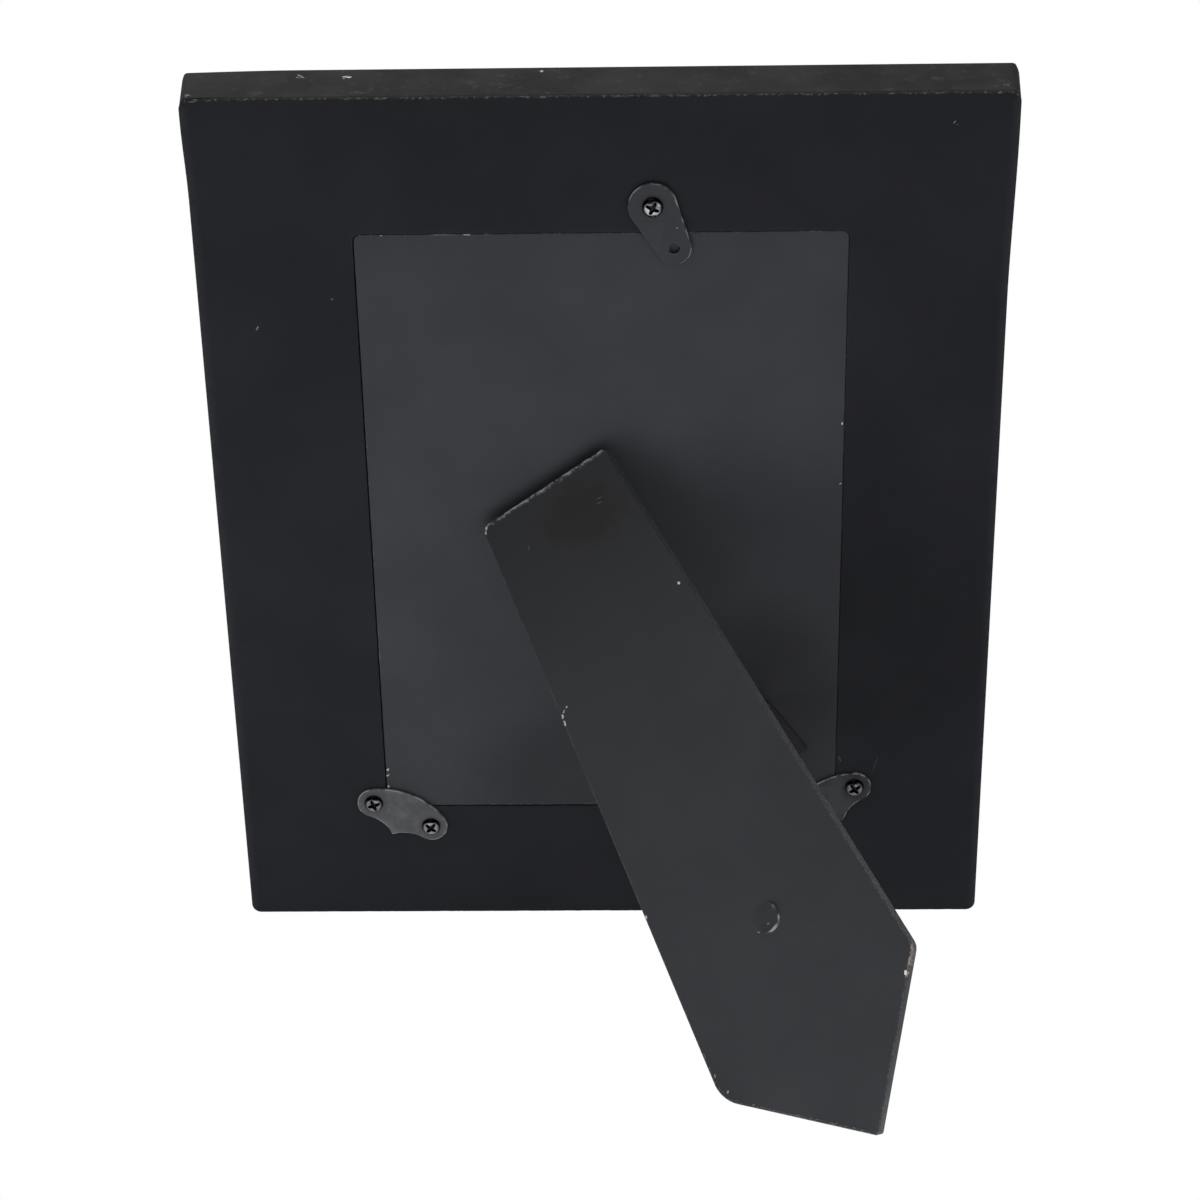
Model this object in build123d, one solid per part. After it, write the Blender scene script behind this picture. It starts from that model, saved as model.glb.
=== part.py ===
from build123d import *
import os
from math import cos, radians, sin, sqrt

os.makedirs("parts", exist_ok=True)

# The frame lies on its face while it is built: X to the right as seen from behind,
# Y up the picture, Z out of the back, with the back face at Z = 0. Millimetres.

# Outer frame
frame_width = 214.8
frame_height = 254.0
frame_depth = 21.0
cover_thickness = 1.6
front_side_flare = 1.9
front_end_flare = 1.3
front_band = 4.0
front_round = 3.0
sight_round = 2.0
lip_width = 6.8

# Sheets in the rebate, from the board at the back to the glass behind the lip
photo_width = 127.0
photo_height = 177.8
photo_thickness = 0.4
board_side_margin = 1.4
board_end_margin = 0.2
board_thickness = 3.0
board_corner = 1.6
board_clearance = 0.4
board_recess = 0.2
sheet_clearance = 0.2
filler_thickness = 2.4
glass_thickness = 2.0

# Dowels across the butt joints of the rails
dowel_radius = 3.0
dowel_length = 30.0
dowel_end_gap = 1.0
dowel_from_front = 6.0
dowel_shares = (0.3, 0.75)

# Cross-head screws
screw_head_radius = 2.75
screw_head_height = 1.4
screw_crown_radius = 1.9
screw_radius = 1.3
screw_length = 11.0
cross_length = 3.0
cross_width = 0.6
cross_depth = 0.7

# Turn button at the top of the board
button_right = 13.8
button_above_board = 7.8
button_tail_deg = 25.5
button_head_radius = 6.5
button_tail_radius = 4.5
button_tail_reach = 12.9
button_tail_hole_radius = 1.6
button_thickness = 0.9
button_play = 0.1

# Corner plates at the foot of the board
plate_half_pitch = 9.1
plate_lobe_radius = 4.8
plate_crown = 7.4
plate_waist = 4.95
plate_cusp = 7.6
plate_thickness = 0.8
left_plate_deg = -26.0
left_plate_right = 4.1
left_plate_up = -2.9
right_plate_deg = 36.0
right_plate_right = -1.5
right_plate_up = 0.6

# Stance: how far the frame leans back, how far the leg opens, how the hinge line slopes
lean_deg = 9.0
open_deg = 40.7
hinge_slope_deg = 35.5
hinge_right = -12.77
hinge_above_middle = 10.16

# Strut hinge
hinge_width = 28.0
leaf_length = 16.0
leaf_thickness = 0.7
leaf_corner = 2.0
knuckle_radius = 1.5
knuckle_gap = 0.3
pin_radius = 0.75
swing_clearance = 0.3
leaf_rivet_radius = 1.0
leaf_rivet_head_radius = 2.0
leaf_rivet_head_height = 0.6
board_rivet_half_pitch = 5.0
board_rivet_drop = 11.0
leg_rivet_half_pitch = 8.5
leg_rivet_drop = 6.5

# Easel leg
leg_top_width = 41.6
leg_thickness = 4.5
leg_flare_share = 0.0735
leg_shoulder_share = 0.806
leg_stop_gap = 0.3
leg_wrap = 0.4
leg_worn_round = 9.0
leg_corner_round = 1.2
leg_shoulder_round = 4.0
leg_tip_round = 0.8
leg_tip_right = 0.8

# Stay ribbon and its two rivets
stay_width = 20.0
stay_thickness = 0.5
stay_bend = 3.0
stay_tab_length = 21.0
stay_board_share = 0.477
stay_leg_share = 0.674
stay_leg_lead = 7.0
stay_leg_tail = 9.0
stay_rivet_radius = 1.5
stay_head_radius = 3.8
stay_head_height = 1.0
stay_crown_radius = 2.6
stay_flange_radius = 3.0
stay_flange_height = 0.5

# Fits
running_fit = 0.06
hole_fit = 0.05
overrun = 6.0
quarter_turn = 90.0

# Places that follow from the sizes above
on_floor = (Align.CENTER, Align.CENTER, Align.MIN)
top_bar_align = (Align.CENTER, Align.MIN, Align.MAX)
bottom_bar_align = (Align.CENTER, Align.MAX, Align.MAX)
left_post_align = (Align.MAX, Align.CENTER, Align.MAX)
right_post_align = (Align.MIN, Align.CENTER, Align.MAX)
middle = frame_height / 2
board_width = photo_width + 2 * board_side_margin
board_height = photo_height + 2 * board_end_margin
pocket_width = board_width + 2 * board_clearance
pocket_height = board_height + 2 * board_clearance
pocket_corner = board_corner + board_clearance
sight_width = pocket_width - 2 * lip_width
sight_height = pocket_height - 2 * lip_width
board_face = -board_recess
filler_face = board_face - board_thickness
photo_face = filler_face - filler_thickness
glass_face = photo_face - photo_thickness
pocket_floor = glass_face - glass_thickness
front_width = frame_width + 2 * front_side_flare
front_height = frame_height + 2 * front_end_flare
dowel_level = dowel_from_front - frame_depth

lean = radians(lean_deg)
opened = radians(open_deg)
slope = radians(hinge_slope_deg)
hinge_up = middle + hinge_above_middle
axis_height = board_face + knuckle_radius + swing_clearance
leg_offset = knuckle_radius + swing_clearance
leg_overhang = (axis_height + leg_offset * cos(opened) - board_face - leg_stop_gap) / sin(opened)
hinge_place = Pos(hinge_right, hinge_up, axis_height) * Rot(0, 0, hinge_slope_deg)
leg_place = hinge_place * Rot(-open_deg, 0, 0)

# The foot edge lies on the floor: its drop below the pin, at a distance across the leg
floor_rise = sin(slope) * cos(lean)
floor_fall = cos(slope) * cos(opened) * cos(lean) + sin(opened) * sin(lean)
floor_lift = cos(slope) * sin(opened) * cos(lean) - cos(opened) * sin(lean)
pin_over_floor = hinge_up * cos(lean) - axis_height * sin(lean)
foot_slope = floor_rise / floor_fall
tip_drop = (pin_over_floor + leg_offset * floor_lift) / floor_fall
shoulder_drop = tip_drop * leg_shoulder_share
stay_leg_drop = tip_drop * stay_leg_share
stay_board_drop = board_height * stay_board_share
stay_rivet_drop = stay_board_drop + stay_tab_length / 2

button_spot = (button_right, middle + board_height / 2 + button_above_board)
left_plate_spot = (-board_width / 2 + left_plate_right, middle - board_height / 2 + left_plate_up)
right_plate_spot = (board_width / 2 + right_plate_right, middle - board_height / 2 + right_plate_up)
left_plate_place = Pos(*left_plate_spot) * Rot(0, 0, left_plate_deg)
right_plate_place = Pos(*right_plate_spot) * Rot(0, 0, right_plate_deg)
plate_sides = (Pos(-plate_half_pitch, 0), Pos(plate_half_pitch, 0))


def turned(*outline):
    """A round fastener, from half of its outline."""
    return revolve(make_face(Plane.XZ * Polyline(*outline, close=True)), Axis.Z)


def wood_screw():
    body = turned(
        (0, screw_head_height),
        (screw_crown_radius, screw_head_height),
        (screw_head_radius, 0),
        (screw_radius, 0),
        (screw_radius, -screw_length),
        (0, -screw_length),
    )
    arm = Rectangle(cross_length, cross_width)
    cross = arm + Rot(0, 0, quarter_turn) * arm
    return body - Pos(0, 0, screw_head_height - cross_depth) * extrude(cross, overrun)


def flat_rivet(head_radius, head_height, radius, grip):
    return turned(
        (0, head_height),
        (head_radius, head_height),
        (head_radius, 0),
        (radius, 0),
        (radius, -grip),
        (0, -grip),
    )


def screw_hole():
    hole = Cylinder(screw_radius + hole_fit, screw_length + overrun, align=on_floor)
    return Pos(0, 0, -screw_length) * hole


def all_screw_holes():
    spots = [Pos(*button_spot)]
    spots += [place * side for place in (left_plate_place, right_plate_place) for side in plate_sides]
    return [spot * Pos(0, 0, plate_thickness) * screw_hole() for spot in spots]


def pocket_outline():
    return Pos(0, middle) * RectangleRounded(pocket_width, pocket_height, pocket_corner)


def flared_bar(back_size, front_size, length):
    """A bar with the frame's side view: straight at the front, narrowing to the back."""
    band_back = front_band - frame_depth
    outline = Polygon(
        (-front_size / 2, -frame_depth),
        (front_size / 2, -frame_depth),
        (front_size / 2, band_back),
        (back_size / 2, -cover_thickness),
        (-back_size / 2, -cover_thickness),
        (-front_size / 2, band_back),
        align=None,
    )
    return extrude(Plane.XZ * outline, length / 2, both=True)


def rail_panel():
    """The four rails in one, wider at the front, with round-over, sight opening and rebate."""
    across = flared_bar(frame_width, front_width, front_height)
    along = Rot(0, 0, quarter_turn) * flared_bar(frame_height, front_height, front_width)
    body = Pos(0, middle) * (across & along)
    body = fillet(body.faces().sort_by(Axis.Z)[0].edges(), front_round)
    sight = Pos(0, middle) * Rectangle(sight_width, sight_height)
    body -= Pos(0, 0, -frame_depth - overrun) * extrude(sight, frame_depth + overrun)
    body = fillet(body.faces().sort_by(Axis.Z)[0].inner_wires()[0].edges(), sight_round)
    body -= Pos(0, 0, pocket_floor) * extrude(pocket_outline(), frame_depth)
    return body


def dowel_spots():
    solid_width = frame_width / 2 - pocket_width / 2
    across = [pocket_width / 2 + solid_width * share for share in dowel_shares]
    ups = (middle - sight_height / 2, middle + sight_height / 2)
    spots = [Pos(side * x, up, dowel_level) for side in (-1, 1) for x in across for up in ups]
    return [spot * Rot(quarter_turn, 0, 0) for spot in spots]


def dowel():
    return Cylinder(dowel_radius, dowel_length)


def dowel_hole():
    return Cylinder(dowel_radius + hole_fit, dowel_length + 2 * dowel_end_gap)


def rails():
    """The panel parted at the sight edges: long rails at top and bottom, short ones between."""
    panel = rail_panel()
    panel -= [spot * dowel_hole() for spot in dowel_spots()]
    panel -= all_screw_holes()
    bar = (frame_width + 2 * overrun, frame_height / 2, frame_depth)
    post = (frame_width / 2 + overrun, sight_height, frame_depth)
    top = panel & Pos(0, middle + sight_height / 2) * Box(*bar, align=top_bar_align)
    bottom = panel & Pos(0, middle - sight_height / 2) * Box(*bar, align=bottom_bar_align)
    left = panel & Pos(0, middle) * Box(*post, align=left_post_align)
    right = panel & Pos(0, middle) * Box(*post, align=right_post_align)
    return top, bottom, left, right


def back_cover():
    sheet = Pos(0, middle) * Rectangle(frame_width, frame_height) - pocket_outline()
    return Pos(0, 0, -cover_thickness) * extrude(sheet, cover_thickness) - all_screw_holes()


def sheet_in_rebate(back, thickness, shrink):
    outline = RectangleRounded(board_width - shrink, board_height - shrink, board_corner)
    return Pos(0, middle, back - thickness) * extrude(outline, thickness)


def rivet_hole(radius):
    return Cylinder(radius + hole_fit, 2 * overrun)


def leaf_rivet_spots(half_pitch, drop):
    return [Pos(side * half_pitch, -drop) for side in (-1, 1)]


def backing_board():
    board = sheet_in_rebate(board_face, board_thickness, 0)
    for spot in leaf_rivet_spots(board_rivet_half_pitch, board_rivet_drop):
        board -= hinge_place * spot * rivet_hole(leaf_rivet_radius)
    return board - hinge_place * Pos(0, -stay_rivet_drop) * rivet_hole(stay_rivet_radius)


def photo_insert():
    return Pos(0, middle, glass_face) * Box(photo_width, photo_height, photo_thickness, align=on_floor)


def turn_button():
    head = Circle(button_head_radius)
    tail = Pos(0, -button_tail_reach) * Circle(button_tail_radius)
    outline = make_hull(head.edges() + tail.edges())
    outline -= Circle(screw_radius + running_fit)
    outline -= Pos(0, -button_tail_reach) * Circle(button_tail_hole_radius)
    blank = extrude(outline, button_thickness)
    return Pos(*button_spot, button_play) * Rot(0, 0, button_tail_deg) * blank


def turn_button_screw():
    return Pos(*button_spot, 2 * button_play + button_thickness) * wood_screw()


def corner_plate():
    """Bat-shaped clip: crowned edge over the board, a lobe round each screw, a cusp between."""
    rise = plate_crown - plate_lobe_radius
    depth = (plate_half_pitch**2 - rise**2) / (2 * rise)
    reach = sqrt(plate_half_pitch**2 + depth**2)
    lean_x = plate_lobe_radius * plate_half_pitch / reach
    lean_y = plate_lobe_radius * depth / reach
    shoulder = (plate_half_pitch + lean_x, lean_y)
    side = (plate_half_pitch + plate_lobe_radius, 0)
    heel = (plate_half_pitch, -plate_lobe_radius)
    waist = (plate_half_pitch / 2, -plate_waist)
    half = ThreePointArc((0, plate_crown), (shoulder[0] / 2, crown_height(shoulder[0] / 2, depth)), shoulder)
    half += ThreePointArc(shoulder, side, heel)
    half += ThreePointArc(heel, waist, (0, -plate_cusp))
    outline = make_face(half + mirror(half, Plane.YZ))
    for spot in plate_sides:
        outline -= spot * Circle(screw_radius + hole_fit)
    return extrude(outline, plate_thickness)


def crown_height(across, depth):
    return sqrt((plate_crown + depth)**2 - across**2) - depth


def plate_screws(place):
    return [place * spot * Pos(0, 0, plate_thickness) * wood_screw() for spot in plate_sides]


def knuckle_length():
    return (hinge_width - 2 * knuckle_gap) / 3


def knuckle(centre, length, clearance):
    return Pos(centre, 0) * Rot(0, quarter_turn, 0) * Cylinder(knuckle_radius + clearance, length)


def hinge_leaf(own, other, face, rivet_spots):
    """A leaf with its own knuckles on the pin, cut free of the other leaf's knuckles."""
    outline = Pos(0, -leaf_length / 2) * Rectangle(hinge_width, leaf_length)
    free_end = outline.vertices().sort_by(Axis.Y)[:2]
    outline = fillet(free_end, leaf_corner)
    for spot in rivet_spots:
        outline -= spot * Circle(leaf_rivet_radius + hole_fit)
    leaf = Pos(0, 0, face) * extrude(outline, leaf_thickness)
    for centre in other:
        leaf -= knuckle(centre, knuckle_length() + 2 * knuckle_gap, knuckle_gap)
    for centre in own:
        leaf += knuckle(centre, knuckle_length(), 0)
    return leaf - Rot(0, quarter_turn, 0) * Cylinder(pin_radius + running_fit, hinge_width + overrun)


def hinge_pin():
    return Rot(0, quarter_turn, 0) * Cylinder(pin_radius, hinge_width)


def leaf_rivet(grip):
    return flat_rivet(leaf_rivet_head_radius, leaf_rivet_head_height, leaf_rivet_radius, grip)


def leg_half_width(drop):
    return leg_top_width / 2 + leg_flare_share * (drop + leg_overhang)


def leg_outline():
    """Flared leg whose foot has two slanted edges: one for standing tall, one for standing wide."""
    heel_top = tip_drop - foot_slope * (leg_top_width / 2 + leg_flare_share * leg_overhang)
    heel_drop = heel_top / (1 + foot_slope * leg_flare_share)
    heel = (-leg_half_width(heel_drop), -heel_drop)
    shoulder = (leg_half_width(shoulder_drop), -shoulder_drop)
    tip = (leg_tip_right, -tip_drop - foot_slope * leg_tip_right)
    top_left = (-leg_top_width / 2, leg_overhang)
    top_right = (leg_top_width / 2, leg_overhang)
    outline = Polygon(top_left, heel, tip, shoulder, top_right, align=None)
    rounds = (
        (heel, leg_worn_round),
        (shoulder, leg_shoulder_round),
        (top_left, leg_corner_round),
        (top_right, leg_corner_round),
        (tip, leg_tip_round),
    )
    for corner, radius in rounds:
        outline = fillet(outline.vertices().sort_by_distance((*corner, 0))[0], radius)
    return outline


def easel_leg():
    leg = Pos(0, 0, leg_offset) * extrude(leg_outline(), leg_thickness)
    under_wrap = leg_offset + leg_thickness - leg_wrap
    for spot in leaf_rivet_spots(leg_rivet_half_pitch, leg_rivet_drop):
        leg -= spot * Cylinder(leaf_rivet_radius + hole_fit, under_wrap, align=on_floor)
    return leg - Pos(0, -stay_leg_drop, leg_offset) * rivet_hole(stay_rivet_radius)


def on_leg(drop):
    """A point of the leg's inner face as distance down the board and height above the pin."""
    return (
        drop * cos(opened) - leg_offset * sin(opened),
        drop * sin(opened) + leg_offset * cos(opened),
    )


def stay_ribbon():
    """Flat tab on the board, a taut run up to the leg, and a tab behind the leg's rivet."""
    board_level = board_face - axis_height
    route = FilletPolyline(
        (stay_board_drop + stay_tab_length, board_level),
        (stay_board_drop, board_level),
        on_leg(stay_leg_drop - stay_leg_lead),
        on_leg(stay_leg_drop + stay_leg_tail),
        radius=stay_bend,
    )
    strip = make_face(offset(route, stay_thickness, side=Side.RIGHT, kind=Kind.ARC))
    side_view = Plane(origin=(0, 0, 0), x_dir=(0, -1, 0), z_dir=(-1, 0, 0))
    band = extrude(side_view * strip, stay_width / 2, both=True)
    band -= Pos(0, -stay_rivet_drop, board_level) * rivet_hole(stay_rivet_radius)
    return band - Rot(-open_deg, 0, 0) * Pos(0, -stay_leg_drop, leg_offset) * rivet_hole(stay_rivet_radius)


def stay_leg_rivet():
    """Low head on the outside of the leg, shank through leg and ribbon, flange clinched behind."""
    grip = leg_thickness + stay_thickness
    rivet = turned(
        (0, stay_head_height),
        (stay_crown_radius, stay_head_height),
        (stay_head_radius, 0),
        (stay_rivet_radius, 0),
        (stay_rivet_radius, -grip),
        (stay_flange_radius, -grip),
        (stay_flange_radius, -grip - stay_flange_height),
        (0, -grip - stay_flange_height),
    )
    return Pos(0, -stay_leg_drop, leg_offset + leg_thickness) * rivet


def stay_board_rivet():
    grip = stay_thickness + board_thickness
    rivet = flat_rivet(stay_flange_radius, stay_flange_height, stay_rivet_radius, grip)
    return Pos(0, -stay_rivet_drop, board_face - axis_height + stay_thickness) * rivet


def all_pieces():
    top, bottom, left, right = rails()
    third = knuckle_length() + knuckle_gap
    board_spots = leaf_rivet_spots(board_rivet_half_pitch, board_rivet_drop)
    leg_spots = leaf_rivet_spots(leg_rivet_half_pitch, leg_rivet_drop)
    board_leaf_face = board_face - axis_height
    leg_leaf_face = leg_offset - leaf_thickness
    board_rivets = [spot * Pos(0, 0, board_leaf_face + leaf_thickness) for spot in board_spots]
    leg_rivets = [spot * Pos(0, 0, leg_leaf_face) * Rot(2 * quarter_turn, 0, 0) for spot in leg_spots]
    board_grip = leaf_thickness + board_thickness
    leg_grip = leaf_thickness + leg_thickness - leg_wrap
    return {
        "top_rail": [top],
        "bottom_rail": [bottom],
        "left_rail": [left],
        "right_rail": [right],
        "rail_dowels": [spot * dowel() for spot in dowel_spots()],
        "back_cover": [back_cover()],
        "backing_board": [backing_board()],
        "filler_card": [sheet_in_rebate(filler_face, filler_thickness, sheet_clearance)],
        "photo_insert": [photo_insert()],
        "glass_pane": [sheet_in_rebate(glass_face, glass_thickness, sheet_clearance)],
        "turn_button": [turn_button()],
        "turn_button_screw": [turn_button_screw()],
        "left_corner_plate": [left_plate_place * corner_plate()],
        "right_corner_plate": [right_plate_place * corner_plate()],
        "left_plate_screws": plate_screws(left_plate_place),
        "right_plate_screws": plate_screws(right_plate_place),
        "hinge_board_leaf": [hinge_place * hinge_leaf((-third, third), (0,), board_leaf_face, board_spots)],
        "hinge_leg_leaf": [leg_place * hinge_leaf((0,), (-third, third), leg_leaf_face, leg_spots)],
        "hinge_pin": [hinge_place * hinge_pin()],
        "board_leaf_rivets": [hinge_place * spot * leaf_rivet(board_grip) for spot in board_rivets],
        "leg_leaf_rivets": [leg_place * spot * leaf_rivet(leg_grip) for spot in leg_rivets],
        "easel_leg": [leg_place * easel_leg()],
        "stay_ribbon": [hinge_place * stay_ribbon()],
        "stay_leg_rivet": [leg_place * stay_leg_rivet()],
        "stay_board_rivet": [hinge_place * stay_board_rivet()],
    }


def stood_up(pieces):
    """Lean the frame back on its lower rear edge and centre its footprint on the origin."""
    upright = Location(Plane(origin=(0, 0, 0), x_dir=(-1, 0, 0), z_dir=(0, cos(lean), -sin(lean))))
    leaning = {name: [upright * solid for solid in solids] for name, solids in pieces.items()}
    box = Compound([solid for solids in leaning.values() for solid in solids]).bounding_box()
    centred = Pos(0, -(box.min.Y + box.max.Y) / 2)
    print("moved along Y by", centred.position.Y, "lowest point", box.min.Z, "overall", box.size)
    return {name: [centred * solid for solid in solids] for name, solids in leaning.items()}


for node, solids in stood_up(all_pieces()).items():
    export_step(solids[0] if len(solids) == 1 else Compound(solids), f"parts/{node}.step")
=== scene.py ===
import math
import bmesh
import bpy
import numpy as np
from mathutils import Matrix, Vector, noise


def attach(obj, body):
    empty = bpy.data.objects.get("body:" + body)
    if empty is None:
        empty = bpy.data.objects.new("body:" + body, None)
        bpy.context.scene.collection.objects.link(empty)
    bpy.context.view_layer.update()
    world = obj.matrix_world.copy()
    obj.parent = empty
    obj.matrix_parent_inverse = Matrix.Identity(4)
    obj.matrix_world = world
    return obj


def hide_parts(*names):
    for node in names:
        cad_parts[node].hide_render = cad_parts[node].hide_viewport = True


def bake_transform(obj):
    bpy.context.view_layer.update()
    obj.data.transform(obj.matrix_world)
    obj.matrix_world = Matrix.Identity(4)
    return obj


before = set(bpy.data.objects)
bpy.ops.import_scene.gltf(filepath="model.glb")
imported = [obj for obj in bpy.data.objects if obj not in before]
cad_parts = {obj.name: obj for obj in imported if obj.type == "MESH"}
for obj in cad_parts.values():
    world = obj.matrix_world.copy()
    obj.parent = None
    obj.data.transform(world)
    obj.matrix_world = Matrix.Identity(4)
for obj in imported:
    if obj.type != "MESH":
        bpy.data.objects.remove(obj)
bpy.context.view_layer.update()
print("frame loaded:", len(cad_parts), "nodes")

# how the frame stands, in millimetres and degrees, as in the CAD part
stance = {
    "leanDeg": 9.0,
    "openDeg": 40.7,
    "slopeDeg": 35.5,
    "hinge": (-12.77, 137.16, 1.6),     # right as seen from behind, up, out of the back
    "depthShift": -56.3073,
}
lean, opened, slope = (math.radians(stance[key]) for key in ("leanDeg", "openDeg", "slopeDeg"))

# rows: right as seen from behind, up the picture, out of the back, in the world
benchAxes = np.array([
    (-1.0, 0.0, 0.0),
    (0.0, math.sin(lean), math.cos(lean)),
    (0.0, math.cos(lean), -math.sin(lean)),
])
# rows: across the hinge line, up the board, out of the board, on the bench
hingeAxes = np.array([
    (math.cos(slope), math.sin(slope), 0.0),
    (-math.sin(slope), math.cos(slope), 0.0),
    (0.0, 0.0, 1.0),
])
# rows: across the leg, up the leg, out of its outer face, on the bench
legAxes = np.array([
    hingeAxes[0],
    hingeAxes[1] * math.cos(opened) - hingeAxes[2] * math.sin(opened),
    hingeAxes[1] * math.sin(opened) + hingeAxes[2] * math.cos(opened),
])


def benchToWorld(points):
    return (np.asarray(points, float) @ benchAxes + (0.0, stance["depthShift"], 0.0)) / 1000


def worldToBench(points):
    return (np.asarray(points, float) * 1000 - (0.0, stance["depthShift"], 0.0)) @ benchAxes.T


def hingeToWorld(points):
    return benchToWorld(np.asarray(points, float) @ hingeAxes + stance["hinge"])


def legToWorld(points):
    return benchToWorld(np.asarray(points, float) @ legAxes + stance["hinge"])


def spin(turnDeg):
    turn = math.radians(turnDeg)
    return np.array([(math.cos(turn), math.sin(turn)), (-math.sin(turn), math.cos(turn))])


# sets a flat shape on the bench, turned about its own origin
def turnedAbout(right, up, out, turnDeg):
    def place(points):
        points = np.asarray(points, float)
        return benchToWorld(np.c_[points[:, :2] @ spin(turnDeg) + (right, up), points[:, 2] + out])

    return place


# outlines and meshes
leastRadius = 0.05          # of a corner that is cut back
leastSpread = 0.5           # limits how far a sharp corner runs out
cornerFade = 6              # steps along a side in which chipping comes in from a corner


def wobble(points, scale, seed):
    return np.array([noise.noise(Vector((right * scale, up * scale, seed))) for right, up in points])


# ragged cuts along an outline: each noise has a scale, a seed and a weight
def raggedCut(outline, noises, lift=0.0, most=1.0):
    waves = (weight * wobble(outline, scale, seed) for scale, seed, weight in noises)
    return np.clip(sum(waves, lift), 0, most)


def share(value, low, high):
    return np.clip((value - low) / (high - low), 0, 1)


def eased(value, low, high):
    part = share(value, low, high)
    return part * part * (3 - 2 * part)


def unit(rows):
    return rows / np.linalg.norm(rows, axis=-1, keepdims=True)


def circle(angles):
    return np.c_[np.cos(angles), np.sin(angles)]


def between(start, end, low, high, count):
    return start + (end - start) * np.linspace(low, high, count)[:, None]


def arcPoints(start, through, end, steps):
    start, through, end = (np.array(p, float) for p in (start, through, end))
    lines = 2 * np.array([through - start, end - start])
    centre = np.linalg.solve(lines, [through @ through - start @ start, end @ end - start @ start])
    angles = [math.atan2(p[1] - centre[1], p[0] - centre[0]) for p in (start, through, end)]
    first = (angles[1] - angles[0]) % (2 * math.pi)
    whole = (angles[2] - angles[0]) % (2 * math.pi)
    if first > whole:
        whole -= 2 * math.pi
    swept = angles[0] + whole * np.linspace(0, 1, steps + 1)[:-1]
    return centre + np.linalg.norm(start - centre) * circle(swept)


# rounds a corner, given the unit directions back and onward from it
def cornerArc(corner, back, onward, radius, steps):
    half = math.acos(np.clip(back @ onward, -1, 1)) / 2
    reach = radius / math.tan(half)
    middle = corner + unit(back + onward) * radius * (1 / math.sin(half) - 1)
    end = corner + onward * reach
    return np.vstack([arcPoints(corner + back * reach, middle, end, steps), end])


def roundedOutline(corners, radii, sideSteps, arcSteps):
    corners = np.array(corners, float)
    onward = unit(np.roll(corners, -1, 0) - corners)
    back = -np.roll(onward, 1, 0)
    arcs = [cornerArc(*corner, arcSteps) for corner in zip(corners, back, onward, radii)]
    outline = []
    for arc, following in zip(arcs, arcs[1:] + arcs[:1]):
        outline += [arc, between(arc[-1], following[0], 1 / sideSteps, 1 - 1 / sideSteps, sideSteps - 1)]
    return np.vstack(outline)


def boxCorners(width, height, middle):
    half, low, high = width / 2, middle - height / 2, middle + height / 2
    return [(-half, low), (half, low), (half, high), (-half, high)]


def shrunk(corners, radii, depth, sideSteps, arcSteps):
    corners = np.array(corners, float)
    along = unit(np.roll(corners, -1, 0) - corners)
    inward = np.c_[-along[:, 1], along[:, 0]]
    moved = [c + np.linalg.solve([inward[i - 1], inward[i]], [depth, depth]) for i, c in enumerate(corners)]
    return roundedOutline(moved, [max(r - depth, leastRadius) for r in radii], sideSteps, arcSteps)


# one along the sides of an outline, falling to nothing at its corners
def awayFromCorners(count, sideSteps, arcSteps):
    steps = np.arange(1, sideSteps)
    side = share(np.minimum(steps, sideSteps - steps), 0, cornerFade)
    return np.tile(np.concatenate([np.zeros(arcSteps + 1), side]), count)


def inset(outline, amount):
    following = np.roll(outline, -1, 0)
    after = unit(following - outline)
    before = np.roll(after, 1, 0)
    tangent = unit(after + before)
    facing = np.sign(np.sum(outline[:, 0] * following[:, 1] - outline[:, 1] * following[:, 0]))
    inward = np.c_[-tangent[:, 1], tangent[:, 0]] * facing
    spread = np.clip(np.sqrt((1 + np.sum(after * before, 1)) / 2), leastSpread, 1)
    return outline + inward * (amount / spread)[:, None]


def lifted(flat, level):
    return np.c_[flat, np.broadcast_to(level, len(flat))]


def addObject(name, data):
    made = bpy.data.objects.new(name, data)
    bpy.context.scene.collection.objects.link(made)
    return made


def closeMesh(name, work, mesh, smoothDeg):
    bmesh.ops.recalc_face_normals(work, faces=work.faces)
    work.to_mesh(mesh)
    work.free()
    mesh.shade_smooth()
    mesh.set_sharp_from_angle(angle=math.radians(smoothDeg))
    return addObject(name, mesh)


def makePiece(name, points, faces, marks=None, smoothDeg=40.0):
    mesh = bpy.data.meshes.new(name)
    mesh.from_pydata([tuple(p) for p in points], [], faces)
    for label, values in (marks or {}).items():
        layer = mesh.attributes.new(label, "FLOAT", "POINT")
        layer.data.foreach_set("value", np.asarray(values, np.float32).ravel())
    work = bmesh.new()
    work.from_mesh(mesh)
    return closeMesh(name, work, mesh, smoothDeg)


def ringFaces(count, size, looped, offset=0):
    faces = []
    for low in range(count if looped else count - 1):
        high = (low + 1) % count
        for j in range(size):
            k = (j + 1) % size
            face = (low * size + j, low * size + k, high * size + k, high * size + j)
            faces.append(tuple(offset + corner for corner in face))
    if not looped:
        faces.append(tuple(offset + j for j in reversed(range(size))))
        faces.append(tuple(offset + (count - 1) * size + j for j in range(size)))
    return faces


def ringPiece(name, rings, place, looped=False, marks=None, smoothDeg=40.0):
    points = place(np.vstack(rings))
    return makePiece(name, points, ringFaces(len(rings), len(rings[0]), looped), marks, smoothDeg)


# each row of a plan: flat outline, how far it is cut back, level, then a value for each mark or none
def planPiece(name, plan, labels, place, looped=False, smoothDeg=40.0):
    rings, marks = [], {label: [] for label in labels}
    for flat, cut, level, *values in plan:
        rings.append(lifted(inset(flat, cut), level))
        for label, value in zip(labels, values + [0.0] * len(labels)):
            marks[label].append(np.broadcast_to(value, len(flat)))
    return ringPiece(name, rings, place, looped, marks, smoothDeg)


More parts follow.
